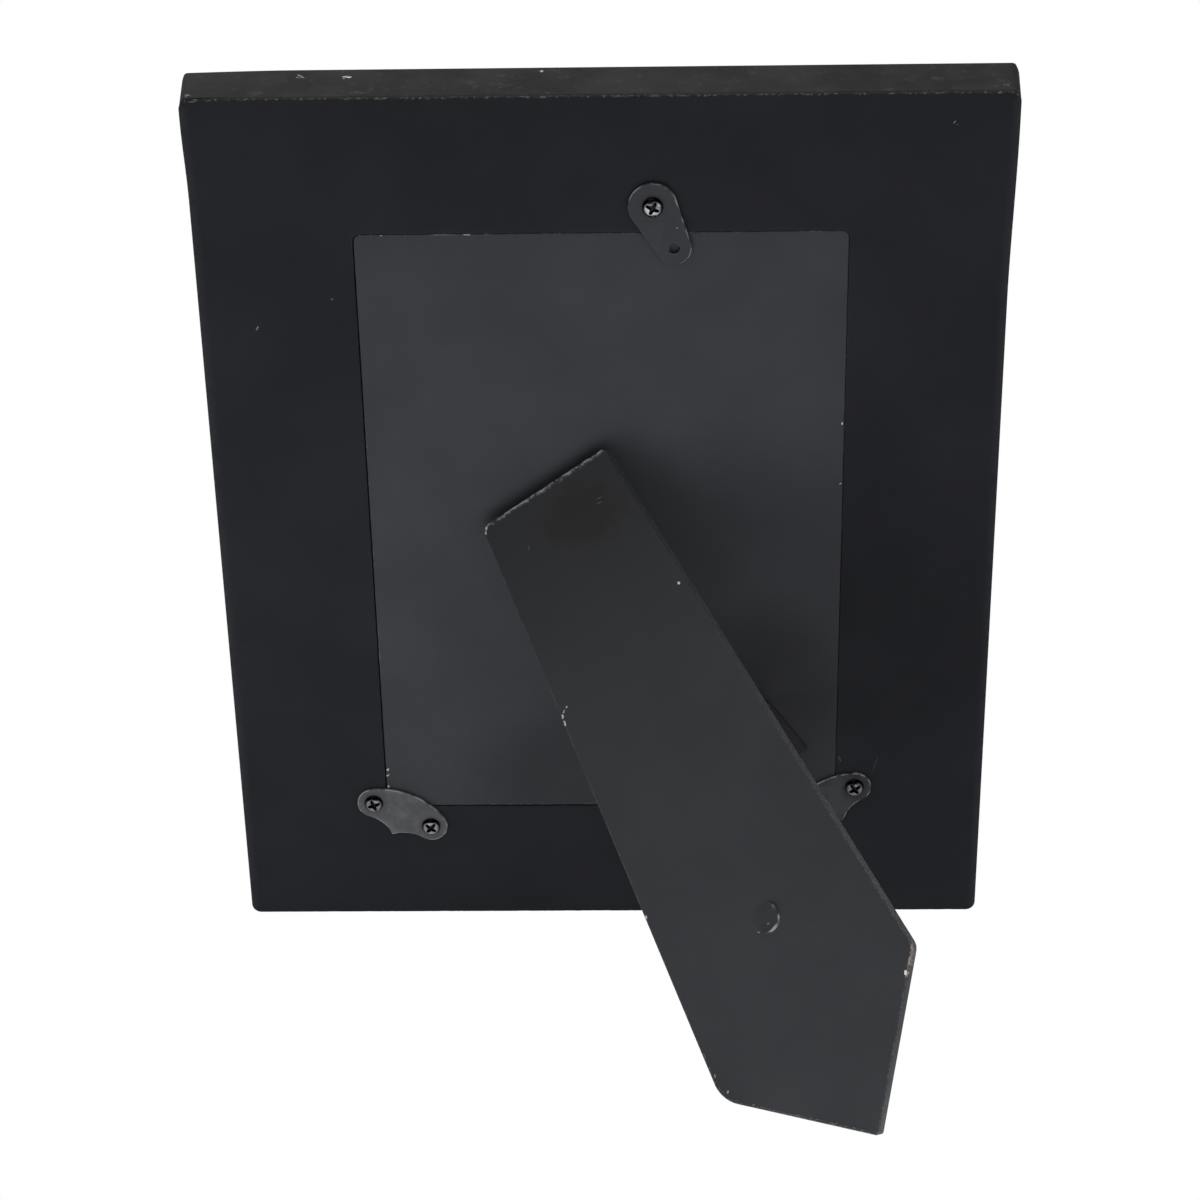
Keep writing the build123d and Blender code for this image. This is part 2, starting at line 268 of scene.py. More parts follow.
def dress(piece, finish, body, slotName, *nodes):
    piece.data.materials.clear()
    piece.data.materials.append(finish)
    if body:
        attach(piece, body)
    if nodes:
        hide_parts(*nodes)
    print("made", piece.name, len(piece.data.polygons), "faces")
    return piece


# materials

def linear(level):
    part = level / 255
    return part / 12.92 if part <= 0.04045 else ((part + 0.055) / 1.055) ** 2.4


def tone(red, green, blue):
    return (linear(red), linear(green), linear(blue), 1.0)


def fillNode(tree, node, inputs):
    for key, value in inputs.items():
        if isinstance(value, bpy.types.NodeSocket):
            tree.links.new(value, node.inputs[key])
        else:
            node.inputs[key].default_value = value


def addNode(tree, kind, inputs=None, **settings):
    node = tree.nodes.new(kind)
    for key, value in settings.items():
        setattr(node, key, value)
    fillNode(tree, node, inputs or {})
    return node


class Finish:
    def __init__(self, name):
        self.material = bpy.data.materials.new(name)
        self.material.use_nodes = True
        self.tree = self.material.node_tree
        self.shader = self.tree.nodes["Principled BSDF"]
        self.place = self.add("ShaderNodeTexCoord").outputs["Object"]

    def fill(self, node, inputs):
        fillNode(self.tree, node, inputs)

    def add(self, kind, inputs=None, **settings):
        return addNode(self.tree, kind, inputs, **settings)

    def noise(self, scale, detail=3.0, rough=0.6, stretch=None):
        place = self.place
        if stretch:
            place = self.add("ShaderNodeMapping", {"Vector": place, "Scale": stretch}).outputs["Vector"]
        inputs = {"Vector": place, "Scale": scale, "Detail": detail, "Roughness": rough}
        return self.add("ShaderNodeTexNoise", inputs).outputs["Fac"]

    def math(self, operation, *values):
        return self.add("ShaderNodeMath", dict(enumerate(values)), operation=operation).outputs[0]

    def ramp(self, value, low, high, outLow=0.0, outHigh=1.0):
        inputs = {"Value": value, "From Min": low, "From Max": high, "To Min": outLow, "To Max": outHigh}
        return self.add("ShaderNodeMapRange", inputs, interpolation_type="SMOOTHSTEP").outputs["Result"]

    def mix(self, part, first, second):
        return self.add("ShaderNodeMix", {"Factor": part, 6: first, 7: second}, data_type="RGBA").outputs[2]

    def mark(self, label):
        return self.add("ShaderNodeAttribute", attribute_name=label).outputs["Fac"]

    # millimetres from a world point along a world direction
    def along(self, origin, axis):
        shifted = self.add("ShaderNodeVectorMath", {0: self.place, 1: tuple(origin)}, operation="SUBTRACT")
        inputs = {0: shifted.outputs[0], 1: tuple(np.asarray(axis) * 1000)}
        return self.add("ShaderNodeVectorMath", inputs, operation="DOT_PRODUCT").outputs["Value"]

    # soft round dark patches, ragged where the look asks for it: a smudge on the leg, painted shadow on the
    # board, darker paint round the plate screws
    def stainedAndShaded(self, colour, look, place, axes):
        ragged = self.noise(look["ragged"]) if "ragged" in look else 0.5
        for spot, radii, strength in look.get("stainsAndShadows", ()):
            away = self.math("MULTIPLY", self.math("SUBTRACT", ragged, 0.5), 2.0)
            for axis, radius in zip(axes, radii):
                part = self.math("DIVIDE", self.along(place((*spot, 0.0)), axis), radius)
                away = self.math("ADD", away, self.math("MULTIPLY", part, part))
            patch = self.ramp(away, 1.0, 1.0 - look["soft"])
            colour = self.mix(self.math("MULTIPLY", patch, strength), colour, look["stainAndShadowTone"])
        return colour

    # colours that come in where the mesh is marked, broken up by noise: wear, and painted light and shade on
    # the leg's right side, the plate and button rims, the screw heads and the rivet's seat
    def wearAndPaintedLight(self, colour, look, detail, rough):
        for label, (bare, scale, low, high) in look.get("wearAndPaintedLight", {}).items():
            broken = self.ramp(self.noise(scale, detail, rough), low, high)
            colour = self.mix(self.math("MULTIPLY", self.mark(label), broken), colour, bare)
        return colour

    def bump(self, height, strength, distance):
        node = self.add("ShaderNodeBump", {"Height": height, "Strength": strength, "Distance": distance})
        self.fill(self.shader, {"Normal": node.outputs["Normal"]})

    def surface(self, colour, rough, specular=0.5, metal=0.0):
        plain = {"Specular IOR Level": specular, "Metallic": metal}
        self.fill(self.shader, {"Base Color": colour, "Roughness": rough, **plain})
        return self.material


# detail and roughness of each noise, the range of it in which a colour comes in, and depths of the bumps
paperNoise = {"fibres": (3.0, 0.7), "clouds": (3.0, 0.55), "dust": (4.0, 0.7), "wearAndPaintedLight": (3.0, 0.7)}
paperRange = {"fibres": (0.6, 0.8), "clouds": (0.3, 0.7), "dust": (0.55, 0.75)}
grainWearAndLight = (2.0, 0.6)
grainRange = {"grain": (0.35, 0.65), "clouds": (0.38, 0.68), "rough": (0.3, 0.7)}
paperDepth, grainDepth = 0.0002, 0.0001


# mottled, lightly fibrous paper or paint
def paperFinish(name, look, place=benchToWorld, axes=benchAxes):
    paint = Finish(name)
    fibres = paint.noise(look["fibreScale"], *paperNoise["fibres"])
    clouds = paint.noise(look["cloudScale"], *paperNoise["clouds"])
    colour = paint.mix(paint.ramp(clouds, *paperRange["clouds"]), look["dark"], look["light"])
    flecks = paint.ramp(fibres, *paperRange["fibres"], 0.0, look["speckle"])
    colour = paint.mix(flecks, colour, look["fleck"])
    paint.bump(fibres, look["bump"], paperDepth)
    if "dust" in look:
        specks = paint.noise(look["dustScale"], *paperNoise["dust"])
        dust = paint.ramp(specks, *paperRange["dust"], 0.0, look["dust"])
        colour = paint.mix(dust, colour, look["fleck"])
    # painted shade: darker towards the top of the leg
    if "shade" in look:
        up = paint.along(place((0.0, 0.0, 0.0)), axes[1])
        shaded = paint.ramp(up, *look["shadeRange"], 0.0, look["shadeShare"])
        colour = paint.mix(shaded, colour, look["shade"])
    colour = paint.wearAndPaintedLight(paint.stainedAndShaded(colour, look, place, axes), look, *paperNoise["wearAndPaintedLight"])
    return paint.surface(colour, look["rough"], look["specular"])


# fine-grained paint, metal, wood or card
def grainFinish(name, look):
    paint = Finish(name)
    grain = paint.noise(look["scale"], stretch=look.get("stretch"))
    colour = paint.mix(paint.ramp(grain, *grainRange["grain"]), look["dark"], look["light"])
    if "clouds" in look:
        clouds = paint.ramp(paint.noise(look["cloudScale"]), *grainRange["clouds"])
        colour = paint.mix(clouds, colour, look["clouds"])
    colour = paint.stainedAndShaded(colour, look, benchToWorld, benchAxes)
    # painted shade: darker by the share marked on the mesh
    if "dull" in look:
        colour = paint.mix(paint.mark("dull"), colour, look["dull"])
    colour = paint.wearAndPaintedLight(colour, look, *grainWearAndLight)
    paint.bump(grain, look["bump"], grainDepth)
    rough = paint.ramp(grain, *grainRange["rough"], *look["rough"])
    if "edgeRough" in look:
        rough = paint.math("MAXIMUM", rough, paint.math("MULTIPLY", paint.mark("edge"), look["edgeRough"]))
    return paint.surface(colour, rough, look["specular"], look.get("metal", 0.0))


def glassFinish(look):
    paint = Finish("clearGlass")
    paint.fill(paint.shader, {"Transmission Weight": 1.0, "IOR": look["ior"]})
    smears = paint.ramp(paint.noise(*look["smears"]), *look["smearRange"], *look["rough"])
    return paint.surface(look["tint"], smears)


# side rails, inner sheets and hinge keep their CAD shape and get finishes here
railLook = {
    "dark": tone(49, 49, 50), "light": tone(60, 60, 61), "fleck": tone(88, 88, 88), "fibreScale": 1300,
    "cloudScale": 70, "speckle": 0.5, "bump": 0.35, "rough": 0.75, "specular": 0.2, "dust": 0.5,
    "dustScale": 260,
}
glassLook = {
    "tint": (0.94, 0.97, 0.96, 1.0), "ior": 1.45, "rough": (0.01, 0.05), "smears": (40, 2.0, 0.5),
    "smearRange": (0.4, 0.8),
}
plainLooks = {
    "hingeSteel": {
        "dark": tone(120, 120, 118), "light": tone(140, 140, 138), "scale": 1500, "bump": 0.1,
        "rough": (0.35, 0.5), "specular": 0.5, "metal": 1.0,
        "nodes": ("hinge_board_leaf", "hinge_leg_leaf", "hinge_pin", "board_leaf_rivets", "leg_leaf_rivets"),
    },
    "dowelWood": {
        "dark": tone(170, 140, 100), "light": tone(196, 166, 122), "scale": 500, "bump": 0.3,
        "rough": (0.6, 0.7), "specular": 0.3, "stretch": (1.0, 1.0, 0.1),
        "nodes": ("rail_dowels",),
    },
    "fillerCard": {
        "dark": tone(150, 140, 122), "light": tone(164, 154, 136), "scale": 700, "bump": 0.2,
        "rough": (0.8, 0.9), "specular": 0.2, "nodes": ("filler_card",),
    },
    "blankCard": {
        "dark": tone(224, 224, 221), "light": tone(230, 230, 227), "scale": 900, "bump": 0.05,
        "rough": (0.5, 0.6), "specular": 0.3, "nodes": ("photo_insert",),
    },
    "rivetPaint": {
        "dark": tone(40, 40, 42), "light": tone(48, 48, 50), "scale": 900, "bump": 0.05,
        "rough": (0.3, 0.4), "specular": 0.5, "nodes": ("stay_board_rivet",),
    },
}


def paintNodes(finish, nodeNames):
    for nodeName in nodeNames:
        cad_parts[nodeName].data.materials.clear()
        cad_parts[nodeName].data.materials.append(finish)
    print("painted", *nodeNames)


railPaint = paperFinish("railPaint", railLook)
paintNodes(railPaint, ("left_rail", "right_rail"))
paintNodes(glassFinish(glassLook), ("glass_pane",))
for finishName, look in plainLooks.items():
    paintNodes(grainFinish(finishName, look), look["nodes"])

# top and bottom rail: the CAD mesh with its outer corners rubbed round, more so at the front
railShape = {
    "halfWidth": 107.4, "height": 254.0, "back": -1.6, "bandBack": -17.0, "front": -21.0,
    "sideFlare": 1.9, "endFlare": 1.3, "backRound": 2.5, "frontRound": 3.5, "cuts": 8, "smoothDeg": 25.0,
    "dip": 0.75, "dipReach": 20.0, "dipLevel": 254.92, "dipDepth": -19.5,
    "swell": {-1: (0.6, 226.0, 249.0), 1: (0.95, 195.0, 248.0)},  # by side: how far, between which heights
    "swellSide": (95.0, 105.0), "weld": 1e-6, "onPlane": 1e-7,
}


def swollen(flat, fade=1.0):
    flat = np.array(flat, float)
    for right, (far, low, high) in railShape["swell"].items():
        outer = share(right * flat[:, 0], *railShape["swellSide"])
        flat[:, 0] += right * far * fade * outer * eased(flat[:, 1], low, high)
    return flat


# a spot and an outward direction for each plane that takes a corner off
def railCuts(shape, atTop):
    up, level = (1, shape["height"]) if atTop else (-1, 0.0)
    ends = (
        (shape["backRound"], 0.0, 0.0, shape["back"]),
        (shape["frontRound"], shape["sideFlare"], shape["endFlare"], shape["bandBack"]),
    )
    for right in (-1, 1):
        for turn in np.linspace(0, math.pi / 2, shape["cuts"] + 2)[1:-1]:
            spots = []
            for size, side, end, depth in ends:
                across = shape["halfWidth"] + side - size + size * math.cos(turn)
                along = end - size + size * math.sin(turn)
                spots.append(np.array((right * across, level + up * along, depth)))
            tangent = (-right * math.sin(turn), up * math.cos(turn), 0.0)
            facing = np.cross(tangent, spots[1] - spots[0])
            yield spots[0], facing * np.sign(facing[0] * right)
    if atTop:
        left = -shape["halfWidth"]
        corner = np.array((left - shape["sideFlare"], shape["dipLevel"] - shape["dip"], shape["dipDepth"]))
        inner = np.array((left + shape["dipReach"], shape["dipLevel"], shape["dipDepth"]))
        back = np.array((left, level, shape["back"]))
        facing = np.cross(inner - back, corner - back)
        yield back, facing * np.sign(facing[1])


def makeRail(name, node, shape, atTop):
    work = bmesh.new()
    work.from_mesh(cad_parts[node].data)
    bmesh.ops.remove_doubles(work, verts=work.verts, dist=shape["weld"])
    for spot, facing in railCuts(shape, atTop):
        cut = bmesh.ops.bisect_plane(
            work, geom=work.verts[:] + work.edges[:] + work.faces[:], dist=shape["onPlane"], clear_outer=True,
            plane_co=benchToWorld(spot), plane_no=unit(facing) @ benchAxes)
        rim = [part for part in cut["geom_cut"] if isinstance(part, bmesh.types.BMEdge)]
        bmesh.ops.contextual_create(work, geom=rim)
    spots = worldToBench([vertex.co for vertex in work.verts])
    fade = share(spots[:, 2], shape["front"], shape["back"])
    for vertex, spot in zip(work.verts, benchToWorld(swollen(spots, fade))):
        vertex.co = spot
    piece = closeMesh(name, work, bpy.data.meshes.new(name), shape["smoothDeg"])
    return dress(piece, railPaint, "frame", "frame_black", node)


makeRail("topRail", "top_rail", railShape, True)
makeRail("bottomRail", "bottom_rail", railShape, False)

# back cover: black paper-faced sheet, rubbed at its edges, its seam open at one top corner
coverShape = {
    "width": 214.8, "height": 254.0, "middle": 127.0, "thickness": 1.6, "corner": 2.7,
    "windowWidth": 130.6, "windowHeight": 179.0, "windowCorner": 2.0, "sideSteps": 330, "arcSteps": 8,
    "nick": 0.14, "windowNick": 0.15, "seam": 0.04, "openSeam": 0.6, "openFrom": -96.0, "openTo": -106.0,
    "topBand": 1.5, "sideBand": (0.6, 0.2), "sideRub": 0.45,
    "nickNoise": ((0.35, 2.3, 1.0), (1.3, 7.7, 0.5)), "windowNoise": ((0.4, 5.1, 1.0),),
}
coverLook = {
    "dark": tone(30, 31, 35), "light": tone(34, 35, 39), "fleck": tone(50, 51, 54), "fibreScale": 2600,
    "cloudScale": 30, "speckle": 0.25, "bump": 0.25, "rough": 0.9, "specular": 0.1,
    "wearAndPaintedLight": {       # colour, then scale and range of the noise
        "lip": (tone(50, 50, 51), 300, 0.25, 0.5),
        "band": (tone(42, 43, 47), 160, 0.2, 0.55),
        "wear": (tone(104, 104, 102), 900, 0.5, 0.66),
    },
}


def makeCover(shape):
    steps = shape["sideSteps"], shape["arcSteps"]
    corners = boxCorners(shape["width"], shape["height"], shape["middle"])
    window = boxCorners(shape["windowWidth"], shape["windowHeight"], shape["middle"])

    def edge(depth):
        return shrunk(corners, [shape["corner"]] * 4, depth, *steps)

    def rim(depth):
        return shrunk(window, [shape["windowCorner"]] * 4, -depth, *steps)

    outer, inner = edge(0.0), rim(0.0)
    clear = awayFromCorners(4, *steps)
    low = -shape["thickness"]
    nick = clear * shape["nick"] * raggedCut(outer, shape["nickNoise"])
    rimNick = -clear * shape["windowNick"] * raggedCut(inner, shape["windowNoise"])
    atTop = outer[:, 1] > shape["height"] - shape["topBand"]
    gape = share(outer[:, 0], shape["openFrom"], shape["openTo"]) * atTop
    seam = shape["seam"] + (shape["openSeam"] - shape["seam"]) * gape * clear
    side = share(np.abs(outer[:, 0]), *(shape["width"] / 2 - reach for reach in shape["sideBand"]))
    rubbed = np.where(atTop, 1.0, shape["sideRub"])
    lip = atTop * (1 - gape)
    plan = (        # outline, cut, level, wear, band, lip
        (edge(0.0), seam, low, 0.2 * gape, 0.0, lip),
        (edge(0.0), seam * 0.9, low + 0.1 + 0.5 * gape, 0.0, 0.0, lip),
        (edge(0.03), 0.0, low + 0.3 + 0.6 * gape, 0.9 * gape, side, lip),
        (edge(0.0), 0.0, -0.3, 0.6 * rubbed, side, lip),
        (edge(0.1), nick, -0.08, rubbed, side, 0.6 * lip),
        (edge(0.22), nick, 0.0, 0.7 * rubbed, side),
        (edge(0.5), nick, 0.0, 0.0, side),
        (edge(2.6), 0.0, 0.0),
        (rim(1.5), 0.0, 0.0),
        (rim(0.25), rimNick, 0.0),
        (rim(0.08), rimNick, -0.06, 0.25),
        (rim(0.0), 0.0, -0.25),
        (rim(0.0), 0.0, low),
    )
    return planPiece("coverSheet", plan, ("wear", "band", "lip"), lambda p: benchToWorld(swollen(p)), True)


dress(makeCover(coverShape), paperFinish("coverPaper", coverLook), "frame", "cover_black", "back_cover")

# backing board: grey paper-faced board close in the window
boardShape = {
    "width": 130.2, "height": 178.75, "middle": 127.05, "corner": 1.9, "face": -0.2, "thickness": 3.0,
    "sideSteps": 260, "arcSteps": 8, "nick": 0.1, "toRight": 0.11, "rub": 0.8, "rightRub": 0.15,
    "rightFrom": 60.0, "nickNoise": ((0.3, 4.4, 1.0), (1.1, 9.2, 0.5)),
}
boardLook = {
    "dark": tone(51, 52, 56), "light": tone(56, 57, 61), "fleck": tone(68, 69, 73), "fibreScale": 2600,
    "cloudScale": 34, "speckle": 0.2, "bump": 0.2, "rough": 0.85, "specular": 0.15,
    # painted shadow: the board is darkened beside and below the leg, standing in for the leg's soft shadow,
    # and stays when the leg folds
    "stainAndShadowTone": tone(40, 41, 44), "soft": 0.98,
    "stainsAndShadows": (((44.0, 66.0), (34.0, 46.0), 1.0), ((-8.0, 46.0), (34.0, 30.0), 0.6)),  # spot, radii, strength
    "wearAndPaintedLight": {"wear": (tone(104, 104, 101), 500, 0.52, 0.68)},
}


def makeBoard(shape):
    steps = shape["sideSteps"], shape["arcSteps"]
    box = boxCorners(shape["width"], shape["height"], shape["middle"])
    corners = [(right + shape["toRight"], up) for right, up in box]

    def edge(depth):
        return shrunk(corners, [shape["corner"]] * 4, depth, *steps)

    outline = edge(0.0)
    rubbed = np.where(outline[:, 0] > shape["rightFrom"], shape["rightRub"], shape["rub"])
    nick = raggedCut(outline, shape["nickNoise"]) * (shape["nick"] * awayFromCorners(4, *steps))
    face, low = shape["face"], shape["face"] - shape["thickness"]
    plan = (        # outline, cut, level, wear
        (edge(0.1), 0.0, low), (edge(0.0), 0.0, low + 0.2),
        (edge(0.0), 0.5 * nick, face - 0.25, 0.3 * rubbed),
        (edge(0.08), nick, face - 0.07, rubbed), (edge(0.2), nick, face, 0.7 * rubbed),
        (edge(0.5), nick, face),
    )
    return planPiece("boardSheet", plan, ("wear",), benchToWorld)


dress(makeBoard(boardShape), paperFinish("boardPaper", boardLook), "frame", "board_grey", "backing_board")

# easel leg: grey paper over fibreboard, torn along its top edge, rubbed bare at its sides and foot, with
# painted shade darkening its face and right side towards the top
legShape = {
    "halfTop": 20.8, "flare": 0.0735, "shoulderShare": 0.806, "tipRight": 0.8, "inner": 1.8, "thickness": 4.5,
    "stopGap": 0.3, "heelRound": 9.0, "cornerRound": 1.2, "tornRound": 2.2, "shoulderRound": 4.0,
    "tipRound": 0.8, "sideSteps": 260, "arcSteps": 10, "tear": 0.7, "nick": 0.14,
    "sideWearAndShade": (15.0, 135.0), "footWear": (60.0, 140.0),       # drops between which the wear grows; on the right side face this growth also paints its upper part darker as shade
    "bareShift": (-1.5, -5.0), "bareSize": (4.0, 7.5), "bareReach": 1.5,    # bare patch below the shoulder
    "topBand": (1.0, 0.2), "underShoulder": 4.0, "leastWear": 0.25, "leftWear": 0.5, "underWear": 0.15,
    "innerWear": 0.8, "footUnder": 0.6, "footRight": 0.4,
    "nickNoise": ((0.3, 6.2, 1.0), (1.2, 1.7, 0.6)),
    "tearNoise": ((0.5, 3.1, 1.0), (1.6, 8.4, 0.7)), "tearLift": 0.25, "tearMost": 1.3,
}
legLook = {
    "dark": tone(48, 49, 52), "light": tone(52, 53, 56), "fleck": tone(64, 65, 67), "fibreScale": 2400,
    "cloudScale": 30, "speckle": 0.2, "bump": 0.22, "rough": 0.85, "specular": 0.15,
    # painted shade darkening the leg towards its top
    "shade": tone(40, 41, 44), "shadeRange": (-75.0, 0.0), "shadeShare": 0.8,
    "stainAndShadowTone": tone(40, 38, 37), "soft": 0.9, "ragged": 90, "stainsAndShadows": (((6.0, -8.0), (15.0, 11.0), 0.85),),
    "wearAndPaintedLight": {
        "side": (tone(101, 102, 102), 1500, 0.3, 0.66),
        "edge": (tone(108, 108, 105), 1500, 0.48, 0.66),
        "bare": (tone(176, 156, 149), 520, 0.46, 0.6),
        "torn": (tone(154, 154, 151), 520, 0.4, 0.56),
    },
}
legFace = legShape["inner"] + legShape["thickness"]


# how far the leg stands above the pin, the slope of its foot, and the drop from the pin to its tip
def legDrops(shape):
    pinUp, pinOut = stance["hinge"][1:]
    pinHeight = pinUp * math.cos(lean) - pinOut * math.sin(lean)
    rise = math.sin(slope) * math.cos(lean)
    fall = math.cos(slope) * math.cos(opened) * math.cos(lean) + math.sin(opened) * math.sin(lean)
    lift = math.cos(slope) * math.sin(opened) * math.cos(lean) - math.cos(opened) * math.sin(lean)
    room = pinOut + shape["inner"] * math.cos(opened) - boardShape["face"] - shape["stopGap"]
    return room / math.sin(opened), rise / fall, (pinHeight + shape["inner"] * lift) / fall


overhang, footSlope, tipDrop = legDrops(legShape)


def legCorners(shape):
    half, flare = shape["halfTop"], shape["flare"]
    heel = (tipDrop - footSlope * (half + flare * overhang)) / (1 + footSlope * flare)
    shoulder = tipDrop * shape["shoulderShare"]
    tip = (shape["tipRight"], -tipDrop - footSlope * shape["tipRight"])
    return [(-half, overhang), (-(half + flare * (heel + overhang)), -heel), tip,
            (half + flare * (shoulder + overhang), -shoulder), (half, overhang)]


def legEdge(shape, depth, sideSteps, arcSteps):
    rounds = [shape[key] for key in ("tornRound", "heelRound", "tipRound", "shoulderRound", "cornerRound")]
    return shrunk(legCorners(shape), rounds, depth, sideSteps, arcSteps)


def makeLeg(shape):
    steps = shape["sideSteps"], shape["arcSteps"]

    def edge(depth):
        return legEdge(shape, depth, *steps)

    outline = edge(0.0)
    up = outline[:, 1]
    low, high = shape["inner"], legFace
    atTop = share(up, *(overhang - drop for drop in shape["topBand"]))
    jag = raggedCut(outline, shape["tearNoise"], shape["tearLift"], shape["tearMost"])
    nick = raggedCut(outline, shape["nickNoise"])
    cut = (shape["nick"] * nick * (1 - atTop) + shape["tear"] * jag * atTop) * awayFromCorners(5, *steps)
    shoulder = np.array(legCorners(shape)[3])
    rightSide = (outline[:, 0] > 0) & (up < overhang - shape["topBand"][0])
    underShoulder = rightSide & (up < shoulder[1] - shape["underShoulder"])

    def growing(key):
        return shape["leastWear"] + (1 - shape["leastWear"]) * share(-up, *shape[key])

    # on the right side face the wear colour grows downwards, which also paints the upper part darker as shade
    side = np.where(rightSide, growing("sideWearAndShade"), shape["leftWear"])
    side[underShoulder] = shape["underWear"]
    lowEdge = shape["innerWear"] * (rightSide & ~underShoulder) * (1 - atTop)
    foot = growing("footWear") * (1 - atTop)
    foot *= np.where(rightSide, np.where(underShoulder, shape["footUnder"], shape["footRight"]), 1.0)
    fromBare = (outline - shoulder - shape["bareShift"]) / shape["bareSize"]
    bare = np.clip(shape["bareReach"] - np.linalg.norm(fromBare, axis=1), 0, 1)
    plan = (        # outline, cut, level, edge, side, torn, bare
        (edge(0.4), 0.0, low, 0.0, 0.3 * side),
        (edge(0.0), 0.0, low + 0.4, 0.9 * lowEdge, side),
        (edge(0.0), 0.0, low + 2.2, 0.0, side, 0.0, 0.2 * bare),
        (edge(0.0), 0.0, high - 0.35, 0.4 * foot, side, 0.1 * atTop, 0.9 * bare),
        (edge(0.1), cut, high - 0.1, foot, 0.5 * side, 0.9 * atTop, bare),
        (edge(0.3), cut, high, 0.7 * foot, 0.0, 0.9 * atTop, 0.5 * bare),
        (edge(0.55), cut, high, 0.0, 0.0, 0.25 * atTop),
        (edge(1.1), cut, high),
    )
    return planPiece("legBoard", plan, ("edge", "side", "torn", "bare"), legToWorld)


legPaper = paperFinish("legPaper", legLook, legToWorld, legAxes @ benchAxes)
dress(makeLeg(legShape), legPaper, "leg", "leg_grey", "easel_leg")

# corner plates and turn button: stamped, painted, with light rims of rubbed paint and painted highlight
plateShape = {
    "halfPitch": 9.1, "lobe": 4.8, "crown": 7.4, "waist": 4.95, "cusp": 7.6, "thickness": 0.8,
    "left": (-60.8, 35.0, 0.0, -26.0), "right": (63.4, 38.5, 0.0, 36.0),        # right, up, out, turn
}
plateHoles = ((-68.979, 38.989), (-52.621, 31.011), (56.038, 33.151), (70.762, 43.849))
# the plate is painted darker round its screw holes
holeDarkening = ((4.4, 4.4), 0.7)       # radii, strength
plateLook = {
    "dark": tone(52, 53, 55), "light": tone(57, 58, 60), "clouds": tone(76, 77, 79), "cloudScale": 150,
    "scale": 900, "bump": 0.12, "rough": (0.5, 0.6), "specular": 0.3,
    "stainAndShadowTone": tone(52, 53, 55), "soft": 0.6, "ragged": 220,
    "stainsAndShadows": [(hole, *holeDarkening) for hole in plateHoles[:2]],
    # light rim: rubbed paint and painted highlight
    "wearAndPaintedLight": {"edge": (tone(140, 141, 140), 420, 0.4, 0.6)},
}
# the right plate: the same paint painted darker, as shade from the leg falls on it
shadedLook = {
    **plateLook, "dark": tone(38, 39, 41), "light": tone(42, 43, 45), "clouds": tone(53, 54, 56),
    "rough": (0.6, 0.7), "specular": 0.12, "stainAndShadowTone": tone(38, 39, 41), "stainsAndShadows": [(plateHoles[3], *holeDarkening)],
}
buttonShape = {
    "head": 6.5, "tail": 4.6, "reach": 12.9, "hole": 1.6, "thickness": 0.9, "play": 0.1,
    "place": (13.8, 223.9), "turn": 25.5, "headSteps": 90, "tailSteps": 60, "holeSoft": 0.12,
    "shadedAt": 235.0, "shadedSpread": 1.3, "shadedShare": 0.95,
}
buttonLook = {
    "dark": tone(46, 47, 51), "light": tone(50, 51, 55), "clouds": tone(52, 53, 57), "cloudScale": 150,
    "scale": 900, "bump": 0.12, "rough": (0.6, 0.7), "specular": 0.12,
    "wearAndPaintedLight": {"edge": (tone(132, 133, 133), 420, 0.4, 0.6)},
}
stampSmoothDeg = 30.0


# the wear column gives the light rim colour, rubbed paint and painted highlight; rub scales it
def stampedRim(outline, thickness, rub=1.0):
    rows = (        # inset, level, wear
        (0.1, 0.0, 0.0), (0.0, 0.1, 0.2), (0.0, thickness - 0.22, 0.4), (0.07, thickness - 0.06, 1.0),
        (0.18, thickness, 0.8), (0.34, thickness, 0.0),
    )
    return [(outline, depth, level, rubbed * rub) for depth, level, rubbed in rows]


def plateOutline(shape):
    half, lobe, waist = shape["halfPitch"], shape["lobe"], -shape["waist"]
    rise = shape["crown"] - lobe
    depth = (half**2 - rise**2) / (2 * rise)
    reach = math.hypot(half, depth)
    right, up = half + lobe * half / reach, lobe * depth / reach
    stops = [
        (right, up), (half + lobe, 0.0), (half, -lobe), (half / 2, waist), (0.0, -shape["cusp"]),
        (-half / 2, waist),
        (-half, -lobe), (-half - lobe, 0.0), (-right, up), (0.0, shape["crown"]), (right, up),
    ]
    counts = (40, 30, 30, 40, 70)
    return np.vstack([arcPoints(*stops[2 * i:2 * i + 3], count) for i, count in enumerate(counts)])


def makePlate(name, shape, spot):
    plan = stampedRim(plateOutline(shape), shape["thickness"])
    return planPiece(name, plan, ("edge",), turnedAbout(*spot), False, stampSmoothDeg)


